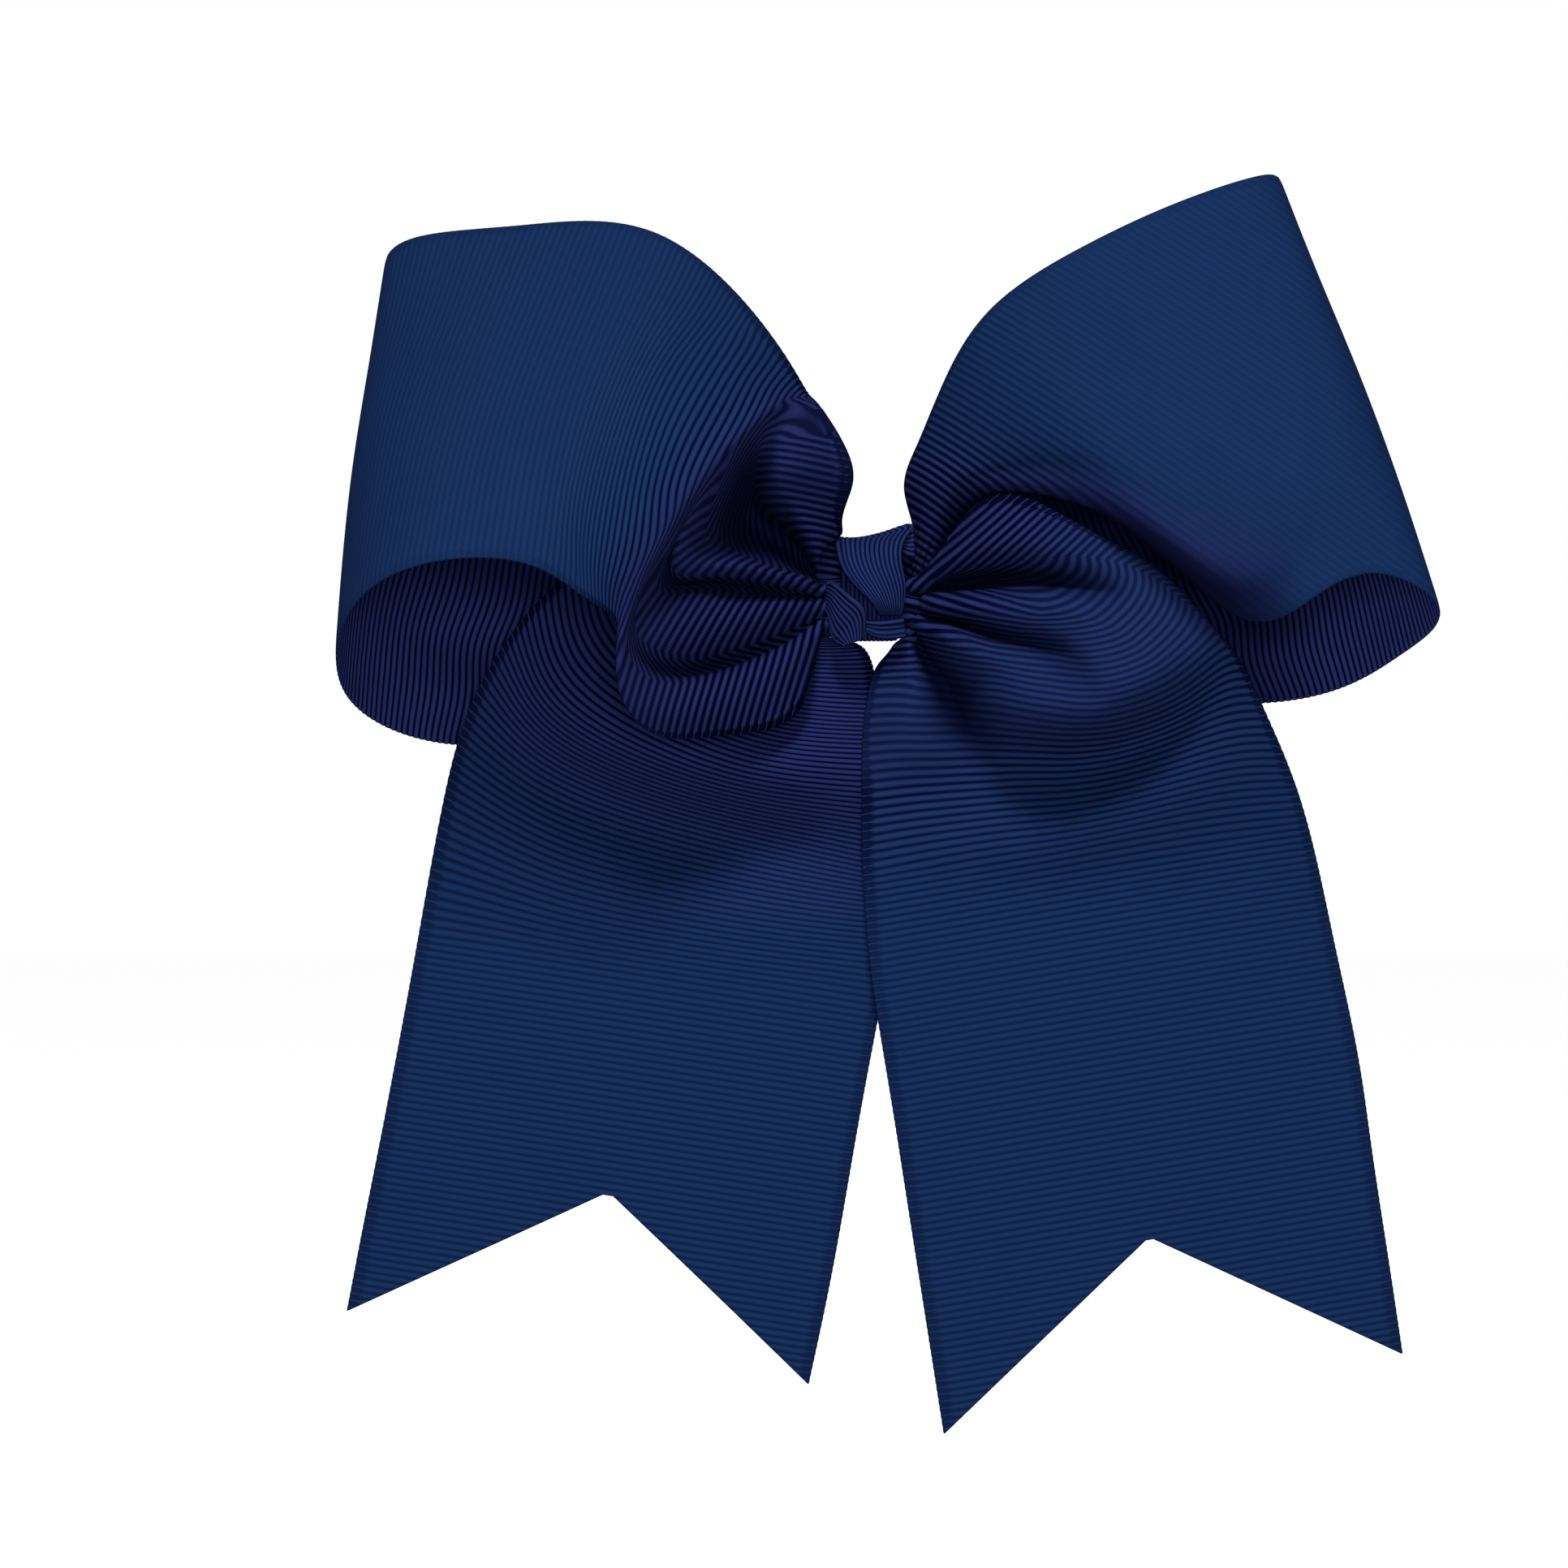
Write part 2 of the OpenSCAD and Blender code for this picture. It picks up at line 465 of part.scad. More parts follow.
module clip_jaw() {
  corner_r = 2.5;
  bend_x = hinge_x - (web_y - pin_y)*tan(lever_a/2);
  rise = (lever_x - bend_x)*tan(lever_a);
  ear_x = hinge_x + jaw_ear_r;
  teeth = floor(toothed_l/tooth_p);
  tooth_x = nose_x + corner_r;
  root_y = tooth_gap + tooth_d;
  color("silver") {
    intersection() {
      translate([0, 0, -jaw_w/2])
        linear_extrude(jaw_w)
          polygon([
            [nose_x, web_y], [bend_x, web_y], [lever_x, web_y + rise],
            [lever_x, web_y + rise + sheet_t/cos(lever_a)],
            [bend_x - sheet_t*tan(lever_a/2), web_y + sheet_t], [nose_x, web_y + sheet_t]
          ]);
      rotate([-90, 0, 0])
        linear_extrude(web_y + rise + 2*sheet_t)
          strip_2d(nose_x, lever_x, jaw_w, corner_r);
    }
    for (side = [-1, 1])
      side_wall(jaw_w, side)
        difference() {
          union() {
            translate([hinge_x, pin_y]) circle(jaw_ear_r);
            polygon(concat(
              [[ear_x, pin_y], [ear_x, web_y + (ear_x - bend_x)*tan(lever_a)], [bend_x, web_y], [tooth_x, web_y]],
              [for (k = [0:teeth - 1]) each [
                [tooth_x + k*tooth_p, root_y], [tooth_x + (k + 0.5)*tooth_p, tooth_gap]
              ]],
              [[tooth_x + teeth*tooth_p, root_y], [hinge_x - jaw_ear_r, pin_y]]
            ));
          }
          translate([hinge_x, pin_y]) circle(pin_d/2 + pin_run);
        }
  }
}

module clip_pin() {
  color("gainsboro")
    translate([hinge_x, pin_y, 0]) {
      cylinder(h = plate_w, d = pin_d, center = true);
      for (side = [-1, 1])
        translate([0, 0, side*(plate_w + head_t)/2])
          cylinder(h = head_t, d = head_d, center = true);
    }
}

// Torsion spring: one leg lies along the plate, the other along the lever
spring_step = wire_d + coil_gap;
spring_rings = 8;
spring_leg = lever_l - 4;
coil_a = 360*spring_turns + 180 - lever_a;
coil_l = spring_step*coil_a/360;
coil_n = round(coil_a/360*spring_rings);
function coil_point(s) = [
  hinge_x - coil_r*sin(coil_a*s), pin_y - coil_r*cos(coil_a*s), coil_l*(s - 0.5)
];
leg_step = [0, 0, spring_step/spring_rings];
lever_way = [cos(lever_a), sin(lever_a), 0];
spring_path = concat(
  [for (s = [1, 0.5]) coil_point(0) + [spring_leg, 0, 0]*s - leg_step*s],
  [for (k = [0:coil_n]) coil_point(k/coil_n)],
  [for (s = [0.5, 1]) coil_point(1) + lever_way*spring_leg*s + leg_step*s]
);
module clip_spring() {
  color("gray") tube(spring_path, wire_d, [0, 0, 1]);
  echo(spring_gap = least_gap(spring_path, wire_d, spring_rings - 2));
}

left_loop();
right_loop();
left_tail();
right_tail();
knot();
knot_band();
gathering_thread();
glue_pad();
clip_plate();
clip_jaw();
clip_pin();
clip_spring();
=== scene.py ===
# %% [markdown]
# # A cheer bow of ribbed ribbon on a spring clip
# The bow is four lengths of one navy grosgrain ribbon, 75 mm wide: two loops and two tails, gathered
# in the middle under a small tied knot, with a sprung hair clip glued behind.
# The CAD frame already holds every piece at its place, so this lesson only dresses it.

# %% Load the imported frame
import math

import bpy
import numpy as np
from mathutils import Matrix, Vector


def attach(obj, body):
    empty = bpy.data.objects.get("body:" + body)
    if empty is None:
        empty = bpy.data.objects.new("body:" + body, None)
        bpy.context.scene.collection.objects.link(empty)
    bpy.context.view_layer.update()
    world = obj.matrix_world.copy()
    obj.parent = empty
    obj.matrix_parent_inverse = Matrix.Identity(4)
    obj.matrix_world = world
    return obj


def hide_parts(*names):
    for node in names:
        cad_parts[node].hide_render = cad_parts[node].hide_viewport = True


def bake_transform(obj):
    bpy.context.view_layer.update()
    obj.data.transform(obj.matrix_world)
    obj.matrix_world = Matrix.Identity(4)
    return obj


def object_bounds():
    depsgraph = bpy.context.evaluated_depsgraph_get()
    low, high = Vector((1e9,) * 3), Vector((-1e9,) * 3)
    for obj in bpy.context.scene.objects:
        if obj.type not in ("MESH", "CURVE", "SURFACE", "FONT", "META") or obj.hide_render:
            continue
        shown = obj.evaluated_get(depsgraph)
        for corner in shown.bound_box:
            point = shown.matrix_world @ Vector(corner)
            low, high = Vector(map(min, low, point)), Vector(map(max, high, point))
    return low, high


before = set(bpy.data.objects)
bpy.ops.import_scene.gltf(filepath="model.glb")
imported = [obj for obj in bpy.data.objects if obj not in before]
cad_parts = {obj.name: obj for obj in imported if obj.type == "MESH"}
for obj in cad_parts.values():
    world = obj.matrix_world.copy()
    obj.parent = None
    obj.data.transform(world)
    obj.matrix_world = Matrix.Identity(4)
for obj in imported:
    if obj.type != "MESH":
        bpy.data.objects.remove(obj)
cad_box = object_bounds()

MM = 0.001
bpy.context.scene.view_settings.view_transform = "Standard"

# %% [markdown]
# ## Camera
# The photograph looks straight at the bow from far away, so perspective is weak. A long lens from about
# a metre and a half gives the same view. It is set first, because every later choice is judged through it.

# %% Camera
VIEW_MIDDLE = (-13.87 * MM, -31.47 * MM)
VIEW_DISTANCE = 1431 * MM
LOOK_DEPTH = -8 * MM
LENS = 200
SENSOR_W = 36

camera_data = bpy.data.cameras.new("camera")
camera_data.lens = LENS
camera_data.sensor_width = SENSOR_W
camera = bpy.data.objects.new("camera", camera_data)
camera.location = (VIEW_MIDDLE[0], LOOK_DEPTH - VIEW_DISTANCE, VIEW_MIDDLE[1])
camera.rotation_euler = (math.radians(90), 0, 0)
bpy.context.collection.objects.link(camera)
bpy.context.scene.camera = camera
print("camera", tuple(round(x, 3) for x in camera.location))

# %% [markdown]
# ## Nodes, one line each
# The surround, the ground and every material are small node trees. Each helper adds one node, links or sets
# its inputs, and hands back its output.


# %% Node helpers
def feed(tree, node, sources):
    for socket, source in sources.items():
        if hasattr(source, "is_output"):
            tree.links.new(source, node.inputs[socket])
        else:
            node.inputs[socket].default_value = source


def add_node(tree, kind, sources=None, **settings):
    node = tree.nodes.new(kind)
    for key, value in settings.items():
        setattr(node, key, value)
    feed(tree, node, sources or {})
    return node


def reckon(tree, operation, *values):
    return add_node(tree, "ShaderNodeMath", dict(enumerate(values)), operation=operation).outputs[0]


def ranged(tree, value, low, high, start=0.0, stop=1.0):
    sources = {"Value": value, "From Min": start, "From Max": stop, "To Min": low, "To Max": high}
    return add_node(tree, "ShaderNodeMapRange", sources).outputs[0]


def mixed(tree, factor, a, b):
    return add_node(tree, "ShaderNodeMix", {0: factor, 6: a, 7: b}, data_type="RGBA").outputs[2]


def noise(tree, place, scale, detail):
    sources = {"Vector": place, "Scale": scale, "Detail": detail}
    return add_node(tree, "ShaderNodeTexNoise", sources).outputs[0]


def mapped(tree, place, **change):
    return add_node(tree, "ShaderNodeMapping", {"Vector": place, **change}).outputs[0]


def bumped(tree, height, strength, distance, **under):
    sources = {"Height": height, "Strength": strength, "Distance": distance, **under}
    return add_node(tree, "ShaderNodeBump", sources).outputs[0]


def object_place(tree):
    return add_node(tree, "ShaderNodeTexCoord").outputs["Object"]


def new_material(name):
    material = bpy.data.materials.new(name)
    material.use_nodes = True
    shader = material.node_tree.nodes["Principled BSDF"]
    return material, material.node_tree, shader


# %% [markdown]
# ## Light and ground
# Soft studio light: a lamp high in front, a broader one level with the bow, one behind for the clip, and a
# dim, even surround. The surround and the ground are white to the camera, with a faint shadow kept on the
# ground. To the bow the ground is a lit table, which fills the folds from below.

# %% Lamps, surround and ground
LAMPS = (
    ("key_lamp", (-0.05, -0.92, 1.02), 0.3, 14.0, (1.0, 1.0, 1.0)),
    ("front_lamp", (0.0, -1.55, 0.05), 0.5, 8.5, (1.0, 1.0, 1.0)),
    ("back_lamp", (0.1, 1.3, 0.55), 0.6, 14.0, (0.95, 0.97, 1.0)),
)
SURROUND = (0.05, 0.05, 0.06, 1)
WHITE = (1, 1, 1, 1)
GROUND_SIZE = 8
GROUND_DROP = 1.5 * MM
TABLE_LIGHT = 0.5
GROUND_GLOW = 0.97
GROUND_SHADE = (0.25, 0.25, 0.25, 1)


def add_lamp(name, place, size, power, colour):
    lamp_data = bpy.data.lights.new(name, "AREA")
    lamp_data.size = size
    lamp_data.energy = power
    lamp_data.color = colour
    lamp = bpy.data.objects.new(name, lamp_data)
    lamp.location = place
    direction = -lamp.location
    lamp.rotation_euler = direction.to_track_quat("-Z", "Y").to_euler()
    bpy.context.collection.objects.link(lamp)


def seen_directly(tree):
    path = add_node(tree, "ShaderNodeLightPath")
    camera_or_gloss = reckon(tree, "MAXIMUM", path.outputs["Is Camera Ray"], path.outputs["Is Glossy Ray"])
    return reckon(tree, "MAXIMUM", camera_or_gloss, path.outputs["Is Transmission Ray"])


for lamp in LAMPS:
    add_lamp(*lamp)

world = bpy.data.worlds.new("surround")
bpy.context.scene.world = world
world.use_nodes = True
sky = world.node_tree
sky.nodes.clear()
dim = add_node(sky, "ShaderNodeBackground", {"Color": SURROUND}).outputs[0]
white = add_node(sky, "ShaderNodeBackground", {"Color": WHITE}).outputs[0]
shown = add_node(sky, "ShaderNodeMixShader", {0: seen_directly(sky), 1: dim, 2: white}).outputs[0]
add_node(sky, "ShaderNodeOutputWorld", {0: shown})

ground_z = cad_box[0].z - GROUND_DROP
bpy.ops.object.select_all(action="DESELECT")
bpy.ops.mesh.primitive_plane_add(size=GROUND_SIZE, location=(0, 0, ground_z))
ground = bpy.context.object
ground.name = "ground"
pale = bpy.data.materials.new("pale_ground")
pale.use_nodes = True
earth = pale.node_tree
earth.nodes.clear()
table = add_node(earth, "ShaderNodeEmission", {"Strength": TABLE_LIGHT}).outputs[0]
shade = add_node(earth, "ShaderNodeBsdfDiffuse", {"Color": GROUND_SHADE}).outputs[0]
glow = add_node(earth, "ShaderNodeEmission", {"Strength": GROUND_GLOW}).outputs[0]
both = add_node(earth, "ShaderNodeAddShader", {0: glow, 1: shade}).outputs[0]
shown = add_node(earth, "ShaderNodeMixShader", {0: seen_directly(earth), 1: table, 2: both}).outputs[0]
add_node(earth, "ShaderNodeOutputMaterial", {0: shown})
ground.data.materials.append(pale)
print("ground at", round(ground_z, 4))

# %% [markdown]
# ## How a ribbon bends
# A ribbon can only bend, so it is drawn by its ribs: each rib is a line from the lower to the upper selvage,
# written as points of how far right of the knot, how far forward of the gathered middle, and how far up,
# in millimetres. A smooth curve runs through the ribs, as through the CAD model's own. Along the ribbon, a
# place is counted in ribs: 2.5 is halfway between the third rib and the fourth.

# %% A smooth curve through given points
CURVE_STEPS = 10


def padded(c):
    return np.concatenate([[2 * c[0] - c[1]], c, [2 * c[-1] - c[-2]]])


def settled(points):
    points = np.asarray(points, float)
    c = points.copy()
    for _ in range(CURVE_STEPS):
        e = padded(c)
        c = c + points - (e[:-2] + 4 * e[1:-1] + e[2:]) / 6
    return padded(c)


def on_curve(c, t):
    t = np.asarray(t, float)
    i = np.clip(np.floor(t).astype(int), 0, len(c) - 4)
    f = (t - i).reshape((-1,) + (1,) * (c.ndim - 1))
    g = 1 - f
    return (
        g**3 * c[i]
        + (3 * f**3 - 6 * f**2 + 4) * c[i + 1]
        + (3 * g**3 - 6 * g**2 + 4) * c[i + 2]
        + f**3 * c[i + 3]
    ) / 6


# %% Ribs, straight or bowed, and ribs inside the knot
BUNDLE_Y = -8.24
THROAT_H = 10.0
LAYER_STEP = 2.6
MEET_X = 0.3
EXIT_X = 7.5
RIB_POINTS = 9
PLAIN_POINTS = 5


def rib(a, b, bow=(0, 0, 0)):
    s = np.linspace(0, 1, PLAIN_POINTS)[:, None]
    a, b, bow = np.array(a, float), np.array(b, float), np.array(bow, float)
    return a + (b - a) * s + bow * 4 * s * (1 - s)


def throat(x, layer, shares=(-0.5, -0.25, 0, 0.25, 0.5)):
    return [(x, layer * LAYER_STEP, share * THROAT_H) for share in shares]


def full_ribs(ribs):
    return np.array(
        [
            r if len(r) == RIB_POINTS else on_curve(settled(r), np.linspace(0, len(r) - 1, RIB_POINTS))
            for r in (np.asarray(r, float) for r in ribs)
        ]
    )


# %% [markdown]
# ## The shape of each length
# The left loop leaves the knot in three deep folds, turns over a lip, runs out over the front, round the
# left fold and back behind. The right loop swells out of the knot and rolls its lower edge under.
# The right tail fans out in front with three creases and falls in a full lobe; the left tail falls behind.

# %% Ribs of the left loop
FRONT_EXIT = 1.6
BACK_EXIT = -1.4
LEVEL_EXIT = (-0.76, -0.36, 0, 0.33, 0.66)

left_loop_ribs = [
    throat(-MEET_X, 1),
    throat(-EXIT_X, FRONT_EXIT, (-0.69, -0.43, -0.09, 0.18, 0.92)),
    [(-11.5, 8.5, -19.3), (-14.5, 12, -13.5), (-13.5, 9, -7.5), (-14.5, 12, -3.8), (-10, 7.5, -0.6),
     (-10.5, 9.5, 1.2), (-8.6, 5.5, 2.6), (-8.2, 8, 6), (-4.95, 5.3, 9.2)],
    [(-23, 17, -23.4), (-26, 22, -18), (-25, 19, -12), (-26, 23, -5.5), (-18, 14, 0.4),
     (-17, 17, 2.8), (-10.3, 8.5, 4), (-9.8, 12, 10), (-4.5, 7.5, 11.5)],
    [(-34, 24.5, -23.6), (-35.5, 29, -18.5), (-34, 28.5, -12.5), (-32.5, 29, -5), (-26, 21, 1.2),
     (-24.5, 24.5, 4), (-14, 11.5, 7.8), (-13.2, 16.5, 15.3), (-3.4, 10, 15.5)],
    [(-40, 31.5, -17.5), (-40, 35, -12.5), (-38.5, 35.5, -7), (-36.8, 34, -1.8), (-33, 27.5, 2.6),
     (-29, 28.5, 8), (-20.5, 14.5, 14), (-14.5, 20.5, 20.5), (-3.2, 13, 21.5)],
    [(-40.6, 36, -9), (-39.2, 39.5, -3.5), (-36.2, 40.5, 2.3), (-32.5, 39, 8.3), (-28.6, 36.5, 14),
     (-24, 33, 19.8), (-19, 28, 25), (-13.6, 22, 29), (-8, 15, 29.8)],
    [(-41.4, 39.5, -4.6), (-41.2, 42, 0.3), (-39, 43, 5.4), (-35.6, 42, 11), (-31.8, 39.5, 16.6),
     (-27.2, 36, 22.4), (-22, 31, 27.6), (-16.4, 24, 31.8), (-10.4, 15, 32.6)],
    [(-46.5, 44, -1), (-46, 43.5, 11), (-39.5, 39, 24), (-31, 29, 36.5), (-17.5, 12.5, 43.5)],
    [(-56, 46, 4), (-53, 41, 18), (-47, 32, 32), (-40, 21, 46), (-35, 8, 58.5)],
    [(-72, 44, 3.5), (-70, 37, 17), (-66, 27, 31), (-61, 16, 46), (-57, 3, 60)],
    [(-83, 35, -3), (-82, 27, 12), (-80, 17, 28), (-77, 7, 43), (-74, -3, 58.5)],
    [(-86, 25, -12), (-85, 17, 5), (-83.5, 8, 21), (-81.5, -1, 38), (-79.5, -10, 54)],
    [(-82, 15, -20), (-80, 6, -3), (-77, -2, 14), (-75, -9, 30), (-72, -16, 46)],
    [(-66, 5, -25), (-63, -2, -9), (-60, -8, 6), (-57, -13, 21), (-54, -17, 36)],
    [(-38, -2.5, -20), (-36, -4, -9), (-34, -5, 2), (-32, -5.5, 13), (-30, -6, 23)],
    throat(-EXIT_X, BACK_EXIT, LEVEL_EXIT),
    throat(-MEET_X, -1),
]

# %% Ribs of the right loop
right_loop_ribs = [
    throat(MEET_X, 0),
    throat(EXIT_X, 0, (-0.12, 0.12, 0.35, 0.58, 0.86)),
    [(13.5, 1, 8), (13.5, 5.5, 12.5), (12.8, 7.5, 14), (11.8, 8, 14.8), (10.6, 8, 15.3),
     (9.4, 7.3, 15.7), (8.2, 6, 16), (7, 4, 16.3), (6, 1.5, 16.5)],
    [(21.5, 0, 17), (21.8, 12, 16.5), (20.3, 13.6, 18.8), (18.6, 13.6, 20), (16.6, 12.8, 20.9),
     (14.6, 11.8, 21.8), (12.4, 10, 22.6), (10.2, 7.5, 23.3), (8, 4, 24)],
    [(31.5, 1, 16), (32.2, 19, 15), (29.8, 20.3, 19), (27, 19.8, 21.7), (24, 18.6, 24.2),
     (21, 16.8, 26.7), (18, 14.5, 29), (15, 11.5, 31.3), (12, 7, 33.5)],
    [(43.6, 8, 9.2), (44.3, 27.5, 9.8), (41, 28.6, 16), (37.5, 27.4, 21), (34, 25.4, 26),
     (30.5, 22.8, 31), (27, 19.5, 36), (23.5, 15.5, 41), (20, 10, 46)],
    [(58, 17.5, -3.2), (57, 31.5, 1.5), (53.8, 32.2, 9), (50.5, 31.4, 16.5), (47.2, 29.4, 24.3),
     (44, 26.5, 32), (41, 23, 40), (38, 18, 48), (35, 12, 56)],
    [(68, 31, -3.5), (65, 34.5, 12), (61, 31.5, 28), (55, 24, 45), (50, 12, 63)],
    [(80, 33, 2.5), (78, 32, 18), (74, 28, 35), (69, 20, 51), (63, 9, 67.5)],
    [(91.5, 28, -3), (86, 23, 15), (79.5, 16, 33.5), (73, 9, 50), (67.5, 0, 66)],
    [(86, 16, -10.5), (81, 9, 6), (75, 3, 23), (69, -3, 39), (62, -9, 54)],
    [(70, 5, -17.5), (66, 0, -3), (61, -5, 12), (55, -9, 26), (49, -12, 40)],
    [(38, -2.5, -16), (36, -4.5, -6), (34, -5.5, 4), (32, -6, 14), (29, -6.5, 22)],
    throat(EXIT_X, BACK_EXIT, LEVEL_EXIT),
    throat(MEET_X, -1),
]

# %% Ribs of the right tail
right_tail_ribs = [
    throat(MEET_X, 1),
    throat(EXIT_X, FRONT_EXIT, (-0.78, -0.6, -0.37, -0.07, 0.25)),
    [(5.2, 2.5, -8.2), (5.9, 3.5, -7.4), (6.4, 4, -5.8), (7.6, 7, -4.8), (8.2, 5.5, -3.6),
     (9.2, 8, -1.8), (9.5, 5.5, 0.2), (12, 9.5, 4), (14.5, 6.5, 10.8)],
    [(3.4, 2, -9.8), (5.6, 3.5, -8.8), (6.8, 5, -6.4), (9.2, 10, -5.8), (10, 8, -4.2),
     (12.4, 12, -2), (13.5, 8.5, 1), (17.5, 14.5, 7.5), (21.8, 12.5, 15.8)],
    [(1.6, 2, -12), (6.2, 4.5, -11), (8.3, 6.5, -8.2), (12.8, 14, -7.4), (15, 12, -5.4),
     (19, 16.5, -2.4), (21, 12.5, 1.8), (26, 18.5, 7), (31, 17.5, 12.2)],
    [(0.3, 2, -15.5), (6, 5, -14.8), (10.5, 8, -11.8), (17.5, 17, -10.6), (22.5, 16.5, -7.8),
     (28, 19.5, -3.2), (31, 18, 1.4), (35.5, 20.5, 5), (39.8, 19.5, 7.4)],
    [(-0.6, 2, -21), (5, 5.5, -20.2), (13.2, 9.5, -16.2), (23, 18.5, -14.6), (31.5, 19.5, -11),
     (37.5, 21, -6.6), (41.5, 21, -2.6), (45, 21.5, 0.4), (48, 20.5, 2)],
    [(-1, 2, -27.5), (6.5, 4.5, -26.5), (16, 8, -22.5), (27, 17.5, -21.5), (37, 21, -19.5),
     (44.5, 22, -15.5), (49.5, 22, -11.5), (53, 21.5, -8), (55.5, 20, -6)],
    [(-1, 2, -34), (9, 2.5, -32.5), (20, 2.5, -29), (30, 3, -27), (40, 5, -25),
     (48.5, 9, -21.5), (54, 13.5, -17.5), (57.5, 16.5, -14), (60, 17, -11.5)],
    [(-1, 2, -42), (18, 3, -40.5), (37, 5.5, -36.5), (54, 10.5, -29), (65, 14.5, -21.5)],
    [(-0.5, 2, -50), (18.5, 2, -49), (37, 2.5, -46.5), (55.5, 5, -42), (71, 9, -36.5)],
    rib((0.5, 2.5, -62), (76, 4, -57), (0, -1.5, -1.5)),
    rib((3.5, 2.5, -81), (80, 2, -75.5), (0, -0.5, -1)),
    rib((6.5, 2.5, -100), (82.5, 1.5, -92)),
    rib((9.5, 2.5, -119), (85, 1.5, -108.5)),
    rib((12.5, 2, -138), (87.5, 1, -125)),
]

# %% Ribs of the left tail
left_tail_ribs = [
    throat(-MEET_X, 0, (-0.5, -0.25, 0, 0.3, 0.74)),
    throat(-EXIT_X, 0, (-0.76, -0.53, -0.22, 0.2, 0.9)),
    [(-1, 0, -9.1), (-13, 1, -10), (-19, 2, -4), (-21, 2, 2), (-20, 2, 8)],
    [(1.5, -1, -19), (-17, 4, -19), (-30, 6, -12), (-38, 7, -3), (-38, 8, 7)],
    [(3.5, -1, -29), (-17, 8, -29.5), (-36, 11, -24.5), (-50, 12, -15), (-53, 12.5, -1)],
    [(4, -2, -42), (-16, -2.5, -40), (-36, -0.5, -36), (-54, 5, -28.5), (-64, 12, -17)],
    [(4, -2, -52), (-15, -1, -52), (-34, 0.5, -50), (-53, 3, -45), (-69.5, 8, -35)],
    rib((2.5, -1.5, -64), (-73.5, 4, -56), (0, -1.5, -3)),
    rib((-0.5, -1, -80), (-76.5, 2, -72), (0, -0.5, -1)),
    rib((-3.5, -0.5, -97), (-79.5, 1, -87.5)),
    rib((-6.5, 0, -113.5), (-82.5, 0.5, -102.5)),
    rib((-10, 0, -130), (-85.5, 0, -118)),
]

# %% [markdown]
# ## From ribs to woven ribbon
# Grosgrain has a thick cord every 1.15 mm. Bump alone would leave a flat outline, so the cords are real
# relief: the mesh has four rows to a cord, laid along the weft, on both faces. Each lengthwise column has
# its own rows, and neighbouring columns are zipped together, so the swallow-tailed cut stays a clean line.
# Where a length fans out of the knot, and on the right loop's front, the cords run straight on across the
# folds, each fold with its own slope. They don't follow the rows there, so the mesh is smooth and the
# material draws them.

# %% The ribbon's surface and its weft
RIBBON_W = 75.0
RIB_PITCH = 1.15
ROWS_PER_RIB = 4
ROW_STEP = RIB_PITCH / ROWS_PER_RIB
DENSE_STEPS = 60
THROAT_PLEAT = 0.6
BACK_PLEAT = 2.0
CREASE_W = 0.034
VALLEY_W = 0.046
POCKET_W = 0.06
BEND_WITH_RELIEF = 0.05
PLEATS = 4


def fold_depth(v, t, creases):
    depth = np.zeros((len(t), len(v)))
    for place, width, stations, depths in creases:
        depth += np.interp(t, stations, depths)[:, None] * np.exp(-(((v - place) / width) ** 2))[None, :]
    return depth


def ribbon_surface(ribs, v, t, gathered, creases):
    net = full_ribs(ribs)
    lines = on_curve(settled(net.transpose(1, 0, 2)), v * (RIB_POINTS - 1)).transpose(1, 0, 2)
    points = on_curve(settled(lines), t)
    depth = np.zeros(len(t))
    if gathered:
        depth += np.interp(t, [0, 1, 2], [THROAT_PLEAT, THROAT_PLEAT, 0])
    if gathered == "both":
        depth += np.interp(len(net) - 1 - t, [0, 1, 2, 4], [THROAT_PLEAT, THROAT_PLEAT, BACK_PLEAT, 0])
    points[..., 1] -= depth[:, None] * np.cos(2 * np.pi * PLEATS * v)[None, :]
    points[..., 1] -= fold_depth(v, t, creases)
    return points


def nearest(t, place):
    return int(np.argmin(abs(t - place)))


def weft_lengths(points, t, zero, lip):
    steps = np.linalg.norm(np.diff(points, axis=0), axis=-1)
    run = np.concatenate([np.zeros((1, points.shape[1])), np.cumsum(steps, axis=0)])
    weft = run[nearest(t, zero)] - run
    edge = nearest(t, lip)
    mean = run.mean(axis=1)
    weft[:edge] = weft[edge] + (mean[edge] - mean[:edge, None])
    return weft


# %% Cords that run straight on across the folds of a fan
def level_cords(points, degrees, towards):
    turn = math.radians(degrees)
    depth = BEND_WITH_RELIEF * points[..., 1]
    return towards * (points[..., 0] * math.sin(turn) - points[..., 2] * math.cos(turn)) + depth


def fan_cords(points, v, t, fan):
    cords = level_cords(points, fan["slopes"][0], fan["towards"])
    for slope, shift, near, far in zip(fan["slopes"][1:], fan["shifts"], fan["valleys"], fan["fades"]):
        place, width = (np.interp(t, fan["widens"], ends)[:, None] for ends in zip(near, far))
        above = np.clip((v[None, :] - place) / width + 0.5, 0, 1)
        cords = cords * (1 - above) + (level_cords(points, slope, fan["towards"]) + shift) * above
    return cords


def joined_cords(points, v, t, weft, spread, fan):
    opened = np.interp(t, *spread)[:, None]
    edge = nearest(t, fan["lip"])
    straight = fan_cords(points, v, t, fan)
    joined = np.where(t[:, None] < t[edge], weft[edge] + straight - straight[edge], weft)
    return opened * joined + (1 - opened) * (straight - straight[edge].mean() + weft[edge].mean())


